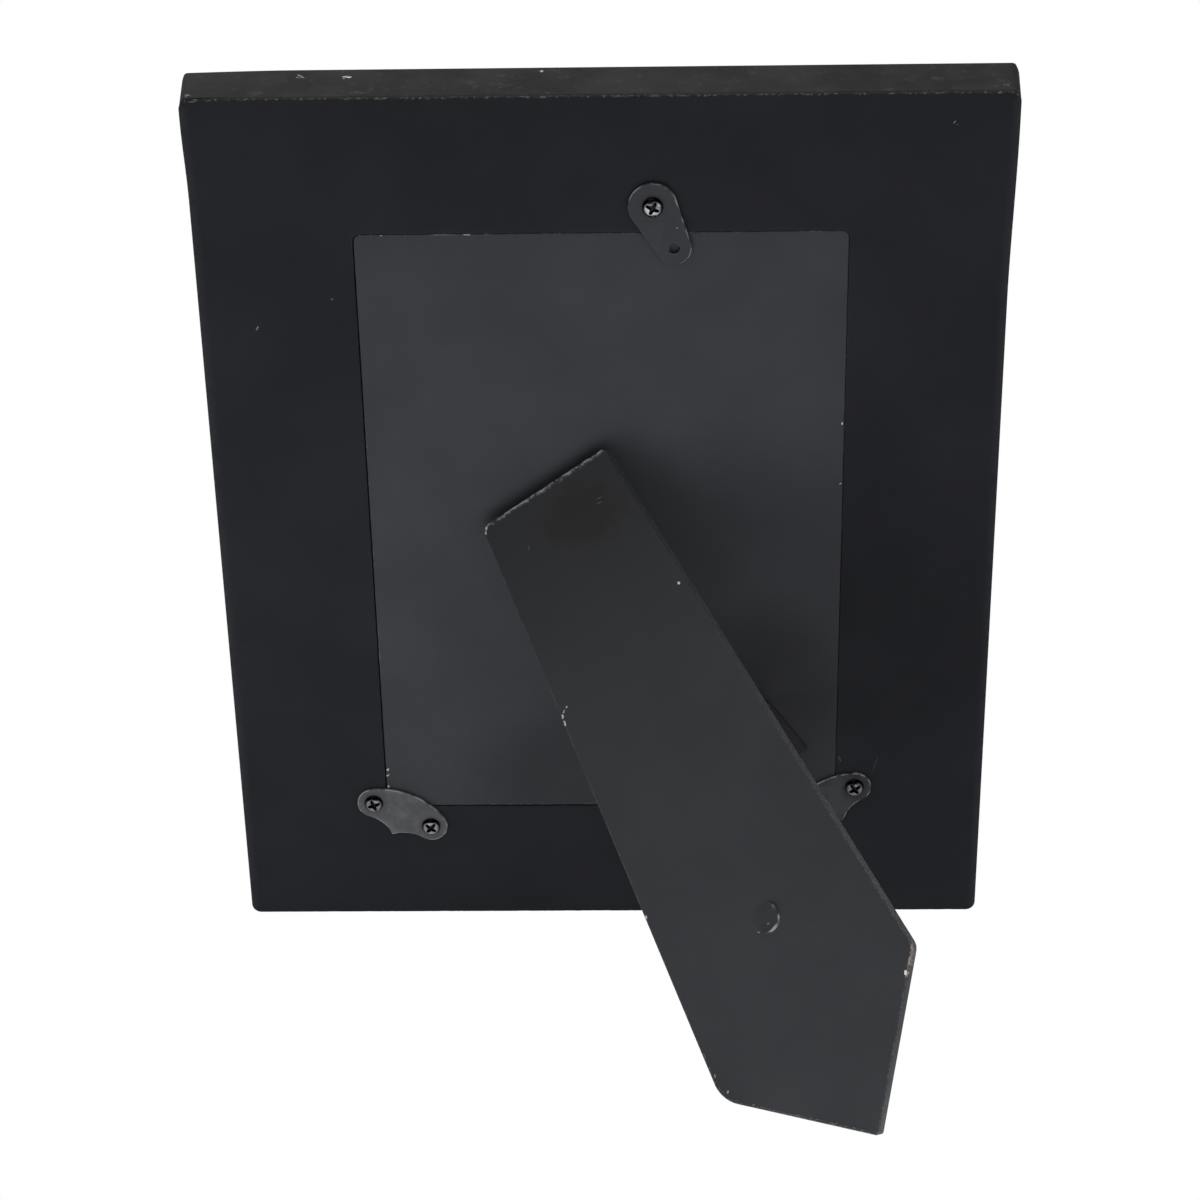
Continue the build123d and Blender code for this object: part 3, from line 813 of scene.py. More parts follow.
def makeButton(shape):
    tail, thickness, soft = np.array((0.0, shape["reach"])), shape["thickness"], shape["holeSoft"]
    narrowing = math.asin((shape["head"] - shape["tail"]) / shape["reach"])
    top = np.linspace(-narrowing, math.pi + narrowing, shape["headSteps"])
    bottom = np.linspace(math.pi + narrowing, 2 * math.pi - narrowing, shape["tailSteps"])
    outline = np.vstack([shape["head"] * circle(top), shape["tail"] * circle(bottom) - tail])
    # the rim's painted highlight is left off on the side facing shadedAt, as that side lies in shade
    facing = np.concatenate([top, bottom]) + math.radians(shape["turn"] - shape["shadedAt"])
    shaded = np.clip(shape["shadedSpread"] * np.cos(facing), 0, 1)
    plan = stampedRim(outline, thickness, 1 - shape["shadedShare"] * shaded)
    away = unit(inset(outline, plan[-1][1]) + tail)
    for wider, level, rubbed in ((soft, thickness, 0.0), (0.0, thickness - soft, 0.5), (0.0, 0.0, 0.0)):
        plan.append((away * (shape["hole"] + wider) - tail, 0.0, level, rubbed))
    place = turnedAbout(*shape["place"], shape["play"], shape["turn"])
    return planPiece("turnButton", plan, ("edge",), place, True, stampSmoothDeg)


for side, paintName, look in (("left", "platePaint", plateLook), ("right", "dullPaint", shadedLook)):
    plate = makePlate(side + "Plate", plateShape, plateShape[side])
    dress(plate, grainFinish(paintName, look), "frame", "clip_steel", side + "_corner_plate")
buttonPaint = grainFinish("buttonPaint", buttonLook)
dress(makeButton(buttonShape), buttonPaint, "turn_button", "clip_steel", "turn_button")

# node trees

def newTree(name, inputs, kinds):
    tree = bpy.data.node_groups.new(name, "GeometryNodeTree")
    for label, kind in {"Geometry": "Geometry", **inputs}.items():
        tree.interface.new_socket(label, in_out="INPUT", socket_type="NodeSocket" + kind)
    tree.interface.new_socket("Geometry", in_out="OUTPUT", socket_type="NodeSocketGeometry")
    shared = {
        "given": "NodeGroupInput", "place": "GeometryNodeInstanceOnPoints",
        "real": "GeometryNodeRealizeInstances",
        "paint": "GeometryNodeSetMaterial", "result": "NodeGroupOutput",
    }
    return tree, {key: tree.nodes.new(kind) for key, kind in {**shared, **kinds}.items()}


def joinNodes(tree, nodes, links):
    ending = (
        ("place", "Instances", "real", "Geometry"), ("real", "Geometry", "paint", "Geometry"),
        ("given", "Finish", "paint", "Material"), ("paint", "Geometry", "result", "Geometry"),
    )
    for source, output, target, socket in links + ending:
        tree.links.new(nodes[source].outputs[output], nodes[target].inputs[socket])
    return tree


def realised(name, carrier, tree, values):
    modifier = carrier.modifiers.new(name, "NODES")
    modifier.node_group = tree
    for item in tree.interface.items_tree:
        if item.in_out == "INPUT" and item.name in values:
            modifier[item.identifier] = values[item.name]
    mesh = bpy.data.meshes.new_from_object(carrier.evaluated_get(bpy.context.evaluated_depsgraph_get()))
    carrier.modifiers.clear()
    bpy.data.objects.remove(carrier)
    mesh.name = name
    return addObject(name, mesh)


# screws: domed cross-heads, one mesh set at five places by a node tree
screwShape = {
    "radius": 2.75, "height": 1.4, "rim": 0.15, "shank": 1.3, "length": 11.0, "point": 3.0,
    "slotHalf": 0.4, "slotReach": 1.85, "slotDepth": 0.9, "slotSoft": 0.15, "rounds": 110, "steps": 42,
    "tip": 0.01, "edge": (0.05, 0.08), "crowding": 0.8, "dome": 2.2, "slotTaper": (1.35, 0.7),
    "slotEnd": (0.4, 0.1), "darkRim": (0.62, 0.88), "smoothDeg": 35.0,
}
# the marked rim and cross recess are painted near black as shade
screwLook = {
    "dark": tone(116, 116, 119), "light": tone(138, 138, 140), "scale": 1200, "bump": 0.03,
    "rough": (0.14, 0.2), "specular": 0.5, "metal": 1.0, "dull": tone(30, 30, 32),
    "wearAndPaintedLight": {"edge": (tone(16, 16, 17), 900, 0.0, 0.1)},
}
screwSpots = (      # place, out, turn, painted shade
    (buttonShape["place"], 1.1, -25.0, 0.15), (plateHoles[0], 0.8, 20.0, 0.6),
    (plateHoles[1], 0.8, 50.0, 0.45), (plateHoles[2], 0.8, 10.0, 0.5), (plateHoles[3], 0.8, 35.0, 0.72),
)


def makeScrewHead(shape):
    radius, reach, soft = shape["radius"], shape["slotReach"], shape["slotSoft"]
    (edgeIn, edgeUp), (wide, taper), (endIn, endOut) = shape["edge"], shape["slotTaper"], shape["slotEnd"]
    around = circle(np.linspace(0, 2 * math.pi, shape["rounds"], endpoint=False))
    below = (
        (shape["tip"], -shape["length"]), (shape["shank"], shape["point"] - shape["length"]),
        (shape["shank"], 0.0), (radius - edgeIn, 0.0), (radius, edgeUp),
    )
    plan = [(size * around, 0.0, level, 1.0) for size, level in below]
    for size in radius * np.linspace(1, 0, shape["steps"])[:-1] ** shape["crowding"]:
        flat = size * around
        rise = math.sqrt(max(0.0, 1 - (size / radius) ** shape["dome"]))
        slots = []
        for across, along in np.abs([flat.T, flat.T[::-1]]):
            half = shape["slotHalf"] * (wide - taper * along / reach)
            ended = eased(along, reach - endIn, reach + endOut)
            slots.append((1 - eased(across - half, -soft, soft)) * (1 - ended))
        slot = np.maximum(*slots)
        level = shape["rim"] + (shape["height"] - shape["rim"]) * rise - shape["slotDepth"] * slot
        # the rim and the cross recess are marked for the painted shade
        plan.append((flat, 0.0, level, np.maximum(slot, eased(size / radius, *shape["darkRim"]))))
    return planPiece("screwHead", plan, ("edge",), np.asarray, smoothDeg=shape["smoothDeg"])


def screwTree():
    tree, nodes = newTree("screwSet", {"Screw": "Object", "Size": "Float", "Finish": "Material"}, {
        "shape": "GeometryNodeObjectInfo", "turn": "GeometryNodeInputNamedAttribute",
        "angles": "ShaderNodeCombineXYZ", "spin": "FunctionNodeEulerToRotation",
    })
    fillNode(tree, nodes["turn"], {"Name": "turn"})
    return joinNodes(tree, nodes, (
        ("given", "Geometry", "place", "Points"), ("given", "Screw", "shape", "Object"),
        ("shape", "Geometry", "place", "Instance"), ("turn", "Attribute", "angles", "Z"),
        ("angles", "Vector", "spin", "Euler"), ("spin", "Rotation", "place", "Rotation"),
        ("given", "Size", "place", "Scale"),
    ))


def makeScrews(spots):
    head = makeScrewHead(screwShape)
    finish = grainFinish("screwGloss", screwLook)
    places = [(*place, out) for place, out, turn, dull in spots]
    # each head's painted shade, as a mark on its spot
    marks = {"turn": [math.radians(spot[2]) for spot in spots], "dull": [spot[3] for spot in spots]}
    carrier = makePiece("screwSpots", places, [], marks)
    piece = realised("screwSet", carrier, screwTree(), {"Screw": head, "Size": 1.0, "Finish": finish})
    bpy.data.objects.remove(head)
    corners = np.empty(len(piece.data.vertices) * 3)
    piece.data.vertices.foreach_get("co", corners)
    piece.data.vertices.foreach_set("co", benchToWorld(corners.reshape(-1, 3)).ravel())
    piece.data.update()
    nodes = ("turn_button_screw", "left_plate_screws", "right_plate_screws")
    return dress(piece, finish, "frame", "screw_black", *nodes)


makeScrews(screwSpots)

# rivet of the stay: low head set askew outside, flange inside
rivetShape = {
    "radius": 4.4, "crown": 0.2, "shank": 1.5, "flange": 3.0, "flangeThick": 0.5, "grip": 5.0,
    "dropShare": 0.674,
    "shift": (0.515, 0.31), "rounds": 96, "sunk": 0.14, "proud": 0.62, "proudAt": -45.0, "gap": 0.22,
    "seat": 0.15, "chamfer": 0.75, "chamferAt": -55.0, "brow": 0.07, "browAt": 25.0, "leastEdge": 0.06,
    "tip": 0.01, "proudRange": (-0.45, 0.3), "proudPower": 1.7, "browPower": 4, "chamferPower": 2.5,
    "seatEdge": -0.1, "seatRise": 0.13, "rimFoot": 0.12, "chamferSteps": (0.35, 0.65, 0.88, 1.0),
    "chamferCurve": 1.2, "crownSteps": (0.92, 0, 16), "crownCurve": 2.4,
}
# the marked seat is painted near black as shade in the gap round the head, and kept rough
rivetLook = {
    "dark": tone(51, 52, 55), "light": tone(55, 56, 59), "scale": 900, "bump": 0.03, "rough": (0.1, 0.15),
    "specular": 1.0, "wearAndPaintedLight": {"edge": (tone(12, 12, 13), 900, 0.0, 0.05)}, "edgeRough": 0.95,
}


def makeRivet(shape):
    radius, grip, seat = shape["radius"], shape["grip"], shape["seat"]
    least, crown, inside = shape["leastEdge"], shape["crown"], -grip - shape["flangeThick"]
    angles = np.linspace(0, 2 * math.pi, shape["rounds"], endpoint=False)
    middle = np.array(shape["shift"]) - (0.0, tipDrop * shape["dropShare"])

    def facing(key):
        return np.cos(angles - math.radians(shape[key]))

    def ring(size, level, dark=0.0):
        return np.reshape(size, (-1, 1)) * circle(angles) + middle, 0.0, legFace + level, dark

    raised = share(facing("proudAt"), *shape["proudRange"]) ** shape["proudPower"]
    rim = -shape["sunk"] + (shape["sunk"] + shape["proud"]) * raised
    brow = shape["brow"] * np.clip(facing("browAt"), 0, 1) ** shape["browPower"]
    rubbed = np.clip(facing("chamferAt"), 0, 1) ** shape["chamferPower"]
    chamfer = least + shape["chamfer"] * rubbed + brow
    foot = shape["rimFoot"]
    seatSize = radius + shape["gap"] * raised
    # the two rings at the seat are marked for painted shade
    plan = [
        ring(shape["tip"], inside), ring(shape["flange"], inside), ring(shape["flange"], -grip),
        ring(shape["shank"], -grip), ring(shape["shank"], -seat), ring(seatSize, -seat),
        ring(seatSize, shape["seatEdge"] + shape["seatRise"] * raised, 1.0),
        ring(radius, np.minimum(rim - least, rim * foot), 1.0),
    ]
    for step in shape["chamferSteps"]:
        drop = np.maximum(least, rim * (1 - foot)) * (1 - step) ** shape["chamferCurve"]
        plan.append(ring(radius - chamfer * step, rim - drop))
    for step in np.linspace(*shape["crownSteps"])[:-1]:
        level = crown + (rim - crown) * step ** shape["crownCurve"]
        plan.append(ring(step * (radius - chamfer), level))
    return planPiece("stayRivet", plan, ("edge",), legToWorld)


dress(makeRivet(rivetShape), grainFinish("rivetGloss", rivetLook), "leg", "rivet_black", "stay_leg_rivet")

# stay ribbon: flat tab on the board, taut run, tab under the leg
ribbonShape = {
    "width": 20.0, "thickness": 0.5, "hem": 0.03, "bend": 3.0, "boardDrop": 85.0, "tab": 21.0, "level": -1.8,
    "lead": 7.0, "tail": 9.0, "cuts": (0.12, 0.96), "widthSteps": 21, "bendSteps": 10, "runShort": 1.3,
    "spans": ((0.0, 0.8, 10), (0.05, 0.95, 40), (0.15, 1.0, 8)),    # from, to and points of each straight
}
ribbonLook = {
    "dark": tone(24, 24, 26), "light": tone(38, 38, 41), "scale": 0.9, "rough": 0.85, "specular": 0.15,
    "upShare": 0.5, "bump": 0.4,
}


def underLeg(drop):
    away = legShape["inner"]
    outward = drop * math.sin(opened) + away * math.cos(opened)
    return np.array((drop * math.cos(opened) - away * math.sin(opened), outward))


# drop down the board and level out of it, from the tab on the board to the tab under the leg
def ribbonRoute(shape):
    legDrop = tipDrop * rivetShape["dropShare"]
    corners = np.array([
        (shape["boardDrop"] + shape["tab"], shape["level"]), (shape["boardDrop"], shape["level"]),
        underLeg(legDrop - shape["lead"]), underLeg(legDrop + shape["tail"]),
    ])
    onward = unit(np.diff(corners, axis=0))
    bend, (tab, run, end) = (shape["bend"], shape["bendSteps"]), shape["spans"]
    low, high = (cornerArc(corners[i], -onward[i - 1], onward[i], *bend) for i in (1, 2))
    runEnd = corners[2] - shape["runShort"] * (low[-1] - corners[1])
    return np.vstack([
        between(corners[0], corners[1], *tab), low, between(low[-1], runEnd, *run),
        high, between(high[-1], corners[3], *end),
    ])


def ribbonRings(shape, route):
    along = unit(np.gradient(route, axis=0))
    away = np.c_[along[:, 1], -along[:, 0]]
    across = np.linspace(-shape["width"] / 2, shape["width"] / 2, shape["widthSteps"])
    sides = np.concatenate([across, across[::-1]])
    lifts = np.repeat((shape["hem"], shape["thickness"] - shape["hem"]), len(across))
    rings = []
    for spot, side in zip(route, away):
        flat = spot + side * lifts[:, None]
        rings.append(np.c_[sides, -flat[:, 0], flat[:, 1]])
    return rings


def ribbonFinish(look):
    paint = Finish("ribbonWeave")
    threads = []
    for axis in hingeAxes @ benchAxes:
        along = paint.along(hingeToWorld((0.0, 0.0, 0.0)), axis)
        threads.append(paint.math("SINE", paint.math("MULTIPLY", along, 2 * math.pi / look["scale"])))
    crossing = paint.math("MULTIPLY", threads[0], threads[2])
    weave = paint.math("ADD", crossing, paint.math("MULTIPLY", threads[1], look["upShare"]))
    colour = paint.mix(paint.ramp(weave, -1.0, 1.0), look["dark"], look["light"])
    paint.bump(weave, look["bump"], paperDepth)
    return paint.surface(colour, look["rough"], look["specular"])


# share of the leg's swing that lays a spot of the ribbon flat between the board and the folded leg
def foldShare(shape, spot, low, high):
    reach, near, far = (math.hypot(*place) for place in (spot, low, high))
    flat = shape["level"] + (legShape["inner"] - shape["level"]) * (reach - near) / (far - near)
    return (math.atan2(spot[1], spot[0]) - math.asin(flat / reach)) / opened


# undoes the eased step of a blend
def easeInverse(part):
    return 0.5 - math.sin(math.asin(1 - 2 * part) / 3)


# three lengths of one ribbon, made where they hang with the leg open; the part of the swing at each end is
# worked out but not used
def hangRibbon(shape, look):
    route = ribbonRoute(shape)
    rings = ribbonRings(shape, route)
    finish = ribbonFinish(look)
    low = np.array((shape["boardDrop"], shape["level"]))
    high = underLeg(tipDrop * rivetShape["dropShare"] - shape["lead"])
    names = ("stayRibbonBoardEnd", "stayRibbonRun", "stayRibbonLegEnd")
    ends = [(0, low[1], 0.0)]
    for cut in shape["cuts"]:
        seam = int(np.argmin(np.abs(route[:, 1] - low[1] - (high - low)[1] * cut)))
        ends.append((seam, route[seam, 1], foldShare(shape, route[seam], low, high)))
    ends.append((len(route) - 1, high[1], 1.0))
    for name, (first, bottom, before), (last, top, after) in zip(names, ends[:-1], ends[1:]):
        piece = ringPiece(name, rings[first:last + 1], hingeToWorld)
        dress(piece, finish, None, "ribbon_black", *(["stay_ribbon"] if name == names[1] else []))
        lowShare, highShare = easeInverse(before), easeInverse(after)
        span = (top - bottom) / (highShare - lowShare)
        start, stop = hingeToWorld([(0, 0, bottom - lowShare * span), (0, 0, bottom + (1 - lowShare) * span)])
        tuple(start)
        tuple(stop)
        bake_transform(piece)


hangRibbon(ribbonShape, ribbonLook)

# flecks of rubbed paper along the edges, thrown by a node tree
footShape = {"inset": 0.7, "steps": (40, 10), "aboveHeel": 14.0, "sunk": 0.01}


def footPath(leg, shape):
    flat = legEdge(leg, shape["inset"], *shape["steps"])
    heelUp = legCorners(leg)[1][1] + shape["aboveHeel"]
    return lifted(flat[(flat[:, 0] < leg["tipRight"]) & (flat[:, 1] < heelUp)], legFace - shape["sunk"])


fleckPlan = (
    {"name": "topEdgeFlecks", "body": "frame", "slot": "cover_black", "spacing": 0.8, "keep": 0.26,
     "size": 0.13, "seed": 3, "colour": tone(112, 112, 110), "place": benchToWorld,
     "path": [(-104.5, 253.9, -0.2), (104.5, 253.9, -0.2)]},
    {"name": "sideEdgeFlecks", "body": "frame", "slot": "cover_black", "spacing": 1.6, "keep": 0.16,
     "size": 0.14, "seed": 5, "colour": tone(96, 95, 96), "place": benchToWorld,
     "path": [(-107.2, 250.8, -0.1), (-107.2, 3.0, -0.1), (-106.4, 1.0, -0.1), (-104.4, 0.2, -0.1),
              (104.4, 0.2, -0.1), (106.4, 1.0, -0.1), (107.2, 3.0, -0.1), (107.2, 250.8, -0.1)]},
    {"name": "legTopFlecks", "body": "leg", "slot": "leg_grey", "spacing": 0.5, "keep": 0.4, "size": 0.2,
     "seed": 8, "colour": tone(196, 196, 193), "place": legToWorld,
     "path": [(-19.6, overhang - 0.5, legFace - 0.03), (19.9, overhang - 0.5, legFace - 0.03)]},
    {"name": "legFootFlecks", "body": "leg", "slot": "leg_grey", "spacing": 0.4, "keep": 0.5, "size": 0.18,
     "seed": 11, "colour": tone(150, 150, 148), "place": legToWorld, "path": footPath(legShape, footShape)},
)
fleckLook = {"shade": 0.55, "scale": 900, "range": (0.3, 0.7), "rough": 0.9, "specular": 0.1}
flakeRadius = 0.001
flakeShape = {      # least and most of each random value, in metres, radians and times the size
    "jitter": ((-0.0002, -0.0002, -0.0002), (0.0002, 0.0002, 0.0002)),
    "turn": ((0.0, 0.0, 0.0), (0.5, 0.5, 6.283)),
    "scale": ((0.5, 0.2, 0.12), (2.4, 0.6, 0.4)),
}


def fleckTree():
    inputs = {"Spacing": "Float", "Keep": "Float", "Size": "Float", "Seed": "Int", "Finish": "Material"}
    chances = ("jitter", "chance", "turn", "scale")
    tree, nodes = newTree("edgeFlecks", inputs, {
        "curve": "GeometryNodeMeshToCurve", "points": "GeometryNodeCurveToPoints",
        "shifted": "GeometryNodeSetPosition", "grown": "ShaderNodeVectorMath",
        "flake": "GeometryNodeMeshIcoSphere",
        **dict.fromkeys(chances, "FunctionNodeRandomValue"),
    })
    nodes["points"].mode = "LENGTH"
    nodes["grown"].operation = "SCALE"
    nodes["chance"].data_type = "BOOLEAN"
    fillNode(tree, nodes["flake"], {"Radius": flakeRadius, "Subdivisions": 1})
    for key, (least, most) in flakeShape.items():
        nodes[key].data_type = "FLOAT_VECTOR"
        fillNode(tree, nodes[key], {0: least, 1: most})
    return joinNodes(tree, nodes, tuple(("given", "Seed", key, "Seed") for key in chances) + (
        ("given", "Geometry", "curve", "Mesh"), ("curve", "Curve", "points", "Curve"),
        ("given", "Spacing", "points", "Length"), ("points", "Points", "shifted", "Geometry"),
        ("jitter", 0, "shifted", "Offset"), ("shifted", "Geometry", "place", "Points"),
        ("given", "Keep", "chance", "Probability"), ("chance", 3, "place", "Selection"),
        ("flake", "Mesh", "place", "Instance"), ("turn", 0, "place", "Rotation"), ("scale", 0, "grown", 0),
        ("given", "Size", "grown", "Scale"), ("grown", "Vector", "place", "Scale"),
    ))


def makeFlecks(plan, look):
    tree = fleckTree()
    for item in plan:
        paint = Finish(item["name"])
        shade = (*(level * look["shade"] for level in item["colour"][:3]), 1.0)
        mottle = paint.ramp(paint.noise(look["scale"]), *look["range"])
        finish = paint.surface(paint.mix(mottle, shade, item["colour"]), look["rough"], look["specular"])
        mesh = bpy.data.meshes.new(item["name"])
        path = [tuple(p) for p in item["place"](item["path"])]
        mesh.from_pydata(path, [(i, i + 1) for i in range(len(path) - 1)], [])
        values = {"Spacing": item["spacing"] / 1000, "Keep": item["keep"], "Size": item["size"],
                  "Seed": item["seed"], "Finish": finish}
        piece = realised(item["name"], addObject(item["name"], mesh), tree, values)
        dress(piece, finish, item["body"], item["slot"])


makeFlecks(fleckPlan, fleckLook)

# chips: bare flakes where the paint or paper has come off, each on its own surface

def onTopRail(points):
    rise = railShape["endFlare"] / (railShape["back"] - railShape["bandBack"])
    up = railShape["height"] + (railShape["back"] - points[:, 1]) * rise + points[:, 2]
    return benchToWorld(np.c_[points[:, 0], up, points[:, 1]])


def raisedBy(level, place):
    return lambda points: place(points + (0.0, 0.0, level))


chipShape = {
    "corners": 18, "ragged": 0.7, "raggedScale": 1.6, "seedStep": 3.7, "sunk": -0.05, "proud": 0.035,
    "topShare": 0.8,
}
chipLook = {"scale": 1100, "range": (0.35, 0.6, 0.5, 1.0), "rough": 0.9, "specular": 0.1}
chipPlan = {        # two places, half length, half width, turn, strength
    "railChips": {
        "body": "frame", "slot": "frame_black", "colour": tone(235, 235, 233), "under": tone(54, 54, 55),
        "place": onTopRail, "spots": (
            (-65.3, -13.6, 1.6, 0.45, 14, 1.0), (-66.4, -13.0, 0.6, 0.3, 60, 0.5),
            (-77.6, -14.2, 1.7, 0.4, 50, 0.35), (-78.4, -13.6, 0.6, 0.25, 10, 0.35),
            (-14.9, -16.0, 0.5, 0.5, 0, 0.7), (105.2, -4.4, 0.3, 0.2, 0, 0.35),
            (104.2, -4.6, 0.2, 0.2, 0, 0.3), (-105.7, -3.4, 0.8, 0.35, 15, 0.35),
            (-106.2, -2.5, 0.4, 0.25, 70, 0.3))},
    "coverChips": {
        "body": "frame", "slot": "cover_black", "colour": tone(190, 190, 188), "under": tone(33, 34, 38),
        "place": benchToWorld, "spots": (
            (91.5, 246.1, 0.6, 0.14, 50, 0.4), (92.1, 245.4, 0.4, 0.1, 0, 0.2),
            (-92.1, 190.0, 0.65, 0.28, 65, 0.4), (-71.6, 198.2, 0.5, 0.12, 40, 0.3),
            (76.6, 51.2, 2.6, 0.08, 75, 0.12), (66.2, 53.3, 1.2, 0.2, -60, 0.12),
            (-104.5, 253.5, 1.1, 0.14, 0, 0.35))},
    "boardChips": {
        "body": "frame", "slot": "board_grey", "colour": tone(225, 225, 221), "under": tone(54, 55, 59),
        "place": raisedBy(boardShape["face"], benchToWorld), "spots": (
            (64.6, 160.4, 0.5, 0.2, 80, 0.8), (64.5, 142.1, 0.3, 0.2, 0, 0.8),
            (-64.4, 50.1, 0.5, 0.3, 60, 0.7), (-64.5, 48.1, 0.6, 0.25, 40, 0.7),
            (-64.5, 44.3, 0.3, 0.35, 0, 0.7), (-35.2, 216.15, 1.3, 0.09, -1, 0.7),
            (-41.6, 216.2, 4.2, 0.06, -1, 0.35), (-57.6, 216.1, 0.4, 0.15, 0, 0.4))},
    "legChips": {
        "body": "leg", "slot": "leg_grey", "colour": tone(215, 216, 214), "under": tone(48, 49, 52),
        "place": raisedBy(legFace, legToWorld), "spots": (
            (22.1, -39.2, 0.45, 0.4, 30, 0.9), (-22.3, -51.9, 0.4, 0.3, 20, 0.5),
            (-23.5, -52.5, 0.6, 0.25, 40, 0.6), (-24.5, -53.6, 0.6, 0.4, 70, 1.0),
            (-24.8, -55.5, 0.8, 0.25, 80, 0.8), (-28.9, -112.6, 0.6, 0.25, 80, 0.8),
            (12.5, -8.1, 1.2, 0.1, -10, 0.12), (13.4, -7.0, 0.9, 0.1, -5, 0.1),
            (-11.2, -8.0, 0.8, 0.2, 60, 0.1), (27.5, -159.1, 0.7, 0.4, 60, 1.0),
            (-31.6, -158.0, 0.5, 0.2, 75, 0.4), (-30.4, -163.3, 0.5, 0.25, 30, 0.4),
            (-19.7, overhang - 1.0, 0.8, 0.25, 50, 0.9), (-20.4, overhang - 2.0, 0.5, 0.25, 75, 0.8))},
    "rivetChips": {
        "body": "leg", "slot": "rivet_black", "colour": tone(200, 200, 200), "under": tone(53, 54, 57),
        "place": raisedBy(legFace + 0.27, legToWorld), "spots": ((0.8, -130.7, 0.5, 0.42, 20, 0.42),)},
    "buttonChips": {
        "body": "turn_button", "slot": "clip_steel", "colour": tone(200, 200, 200), "under": tone(33, 34, 36),
        "place": raisedBy(buttonShape["play"] + buttonShape["thickness"], benchToWorld), "spots": (
            (20.2, 218.0, 0.24, 0.22, 0, 0.45), (19.9, 225.2, 1.0, 0.16, -65, 0.6))},
}


def makeChips(group, plan, shape, look):
    count = shape["corners"]
    around = circle(np.linspace(0, 2 * math.pi, count, endpoint=False))
    points, faces, strengths = [], [], []
    for number, (right, up, long, short, turnDeg, strength) in enumerate(plan["spots"]):
        reach = 1 + shape["ragged"] * wobble(around, shape["raggedScale"], number * shape["seedStep"])
        flat = around * reach[:, None] * (long, short) @ spin(turnDeg)
        faces += ringFaces(2, count, False, len(points))
        for size, level in ((1.0, shape["sunk"]), (shape["topShare"], shape["proud"])):
            points += [*lifted(flat * size + (right, up), level)]
        strengths += [strength] * (2 * count)
    piece = makePiece(group, plan["place"](np.array(points)), faces, {"strength": strengths})
    paint = Finish(group)
    broken = paint.ramp(paint.noise(look["scale"]), *look["range"])
    colour = paint.mix(paint.math("MULTIPLY", paint.mark("strength"), broken), plan["under"], plan["colour"])
    finish = paint.surface(colour, look["rough"], look["specular"])
    return dress(piece, finish, plan["body"], plan["slot"])


for group, plan in chipPlan.items():
    makeChips(group, plan, chipShape, chipLook)

# floor, lights and camera
cameraFit = {
    "focalPixels": 2979.0, "framePixels": 1200.0, "sensor": 36.0, "clip": (0.01, 20.0),
    "centre": (17.9, 514.1, 728.0),
    "right": (0.99970, -0.01695, -0.01774),
    "up": (0.00611, 0.87227, -0.48899), "behind": (0.02375, 0.48873, 0.87211),
}
floorLook = {"half": 6.0, "level": -0.0005, "colour": (0.8, 0.8, 0.8, 1.0), "rough": 0.9}
lightPlan = (      # two glowing sheets on the floor, a soft light overhead, a low fill at the right
    {"name": "nearSheet", "from": (0.12, 0.12, -0.0002), "towards": (0.12, 0.12, 1.0), "size": 0.6,
     "watts": 0.85},
    {"name": "farSheet", "from": (0.14, 0.34, -0.0003), "towards": (0.14, 0.34, 1.0), "size": 0.55,
     "watts": 1.1},
    {"name": "topLight", "from": (0.3, 0.2, 1.4), "towards": (0.0, 0.0, 0.12), "size": 1.2, "watts": 13.0},
    {"name": "sideFill", "from": (-0.7, 0.65, 0.1), "towards": (0.0, 0.0, 0.12), "size": 0.6, "watts": 2.4},
)
worldLook = {"ambient": 0.1, "mirrored": 0.04, "seen": 1.0}


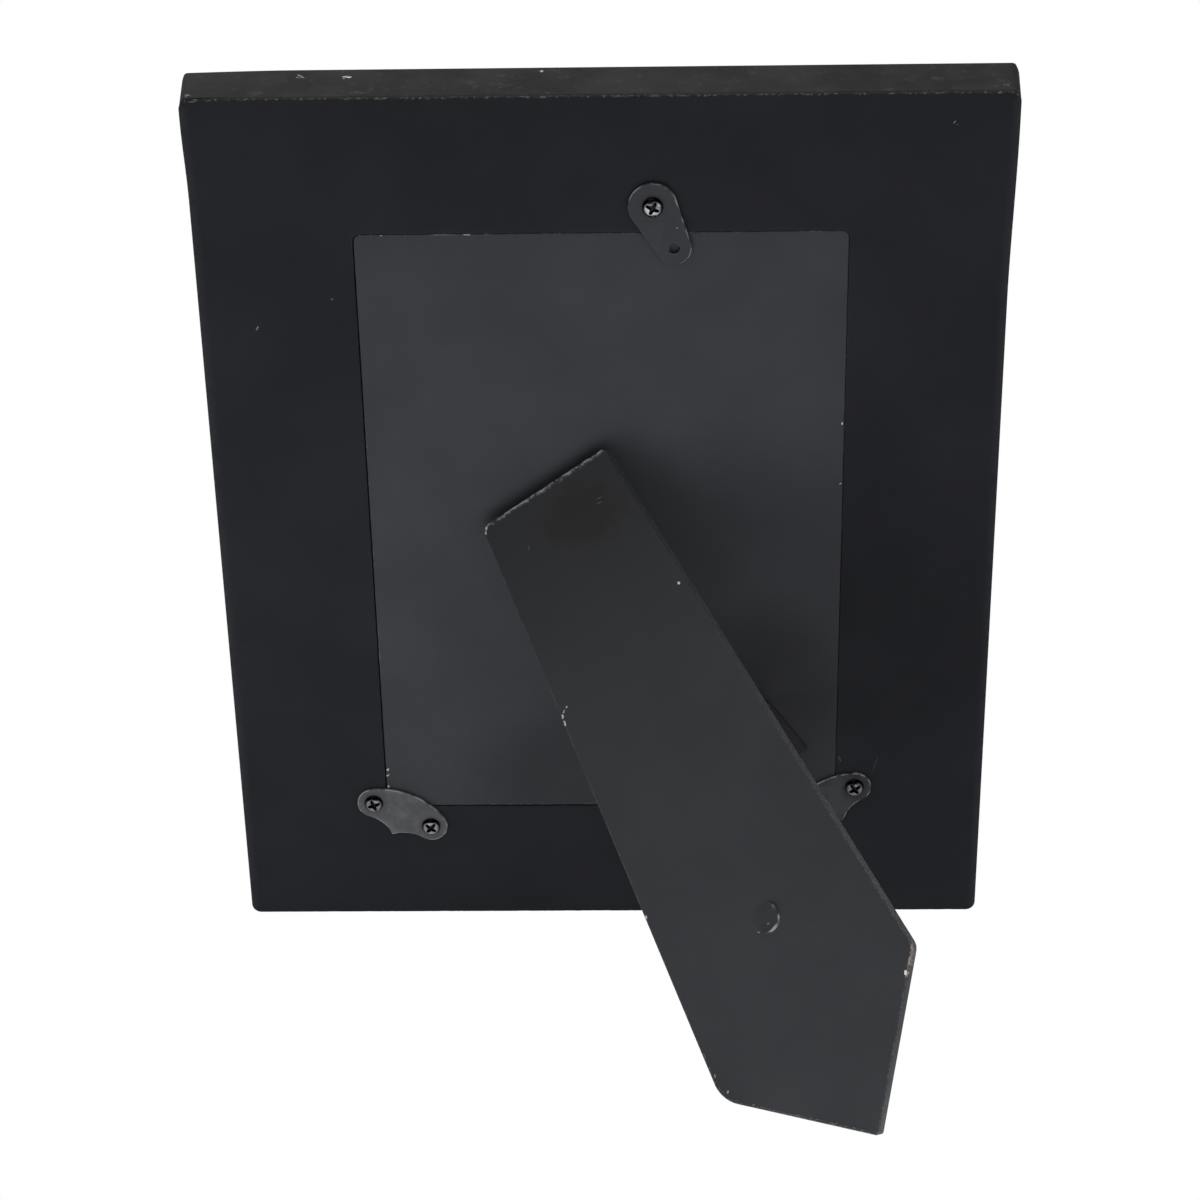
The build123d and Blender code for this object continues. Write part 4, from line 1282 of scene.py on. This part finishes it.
def makeCamera(fit):
    data = bpy.data.cameras.new("photoCamera")
    data.sensor_width = fit["sensor"]
    data.lens = fit["focalPixels"] / fit["framePixels"] * data.sensor_width
    data.clip_start, data.clip_end = fit["clip"]
    camera = addObject("photoCamera", data)
    axes = np.array([fit["right"], fit["up"], fit["behind"]]) @ benchAxes
    matrix = Matrix(axes.T.tolist()).to_4x4()
    matrix.translation = Vector(benchToWorld(fit["centre"]))
    camera.matrix_world = matrix
    bpy.context.scene.camera = camera


# plain white to the camera and in mirrored light, a pale surface otherwise
def floorFinish(look):
    paint = Finish("paleFloor")
    paint.surface(look["colour"], look["rough"])
    rays = paint.add("ShaderNodeLightPath").outputs
    bright = paint.math("MAXIMUM", rays["Is Camera Ray"], rays["Is Glossy Ray"])
    white = paint.add("ShaderNodeEmission").outputs["Emission"]
    mix = paint.add("ShaderNodeMixShader", {0: bright, 1: paint.shader.outputs["BSDF"], 2: white})
    paint.fill(paint.tree.nodes["Material Output"], {"Surface": mix.outputs["Shader"]})
    return paint.material


def makeFloor(look):
    mesh = bpy.data.meshes.new("studioFloor")
    corners = boxCorners(2 * look["half"], 2 * look["half"], 0.0)
    mesh.from_pydata([(*corner, look["level"]) for corner in corners], [], [(0, 1, 2, 3)])
    mesh.materials.append(floorFinish(look))
    addObject("studioFloor", mesh)


def makeLights(plan):
    for item in plan:
        data = bpy.data.lights.new(item["name"], "AREA")
        data.energy = item["watts"]
        data.size = item["size"]
        lamp = addObject(item["name"], data)
        lamp.location = item["from"]
        aim = Vector(item["towards"]) - Vector(item["from"])
        lamp.rotation_euler = aim.to_track_quat("-Z", "Y").to_euler()
        lamp.visible_camera = False


def makeWorld(look):
    world = bpy.data.worlds.new("studioWorld")
    bpy.context.scene.world = world
    world.use_nodes = True
    tree = world.node_tree
    rays = tree.nodes.new("ShaderNodeLightPath").outputs
    colour = (*[look["ambient"]] * 3, 1)
    for level, ray in ((look["mirrored"], "Is Glossy Ray"), (look["seen"], "Is Camera Ray")):
        inputs = {"Factor": rays[ray], 6: colour, 7: (level, level, level, 1)}
        colour = addNode(tree, "ShaderNodeMix", inputs, data_type="RGBA").outputs[2]
    fillNode(tree, tree.nodes["Background"], {"Color": colour})


makeCamera(cameraFit)
makeFloor(floorLook)
makeLights(lightPlan)
makeWorld(worldLook)
bpy.context.scene.view_settings.view_transform = "Standard"
print("stage ready")
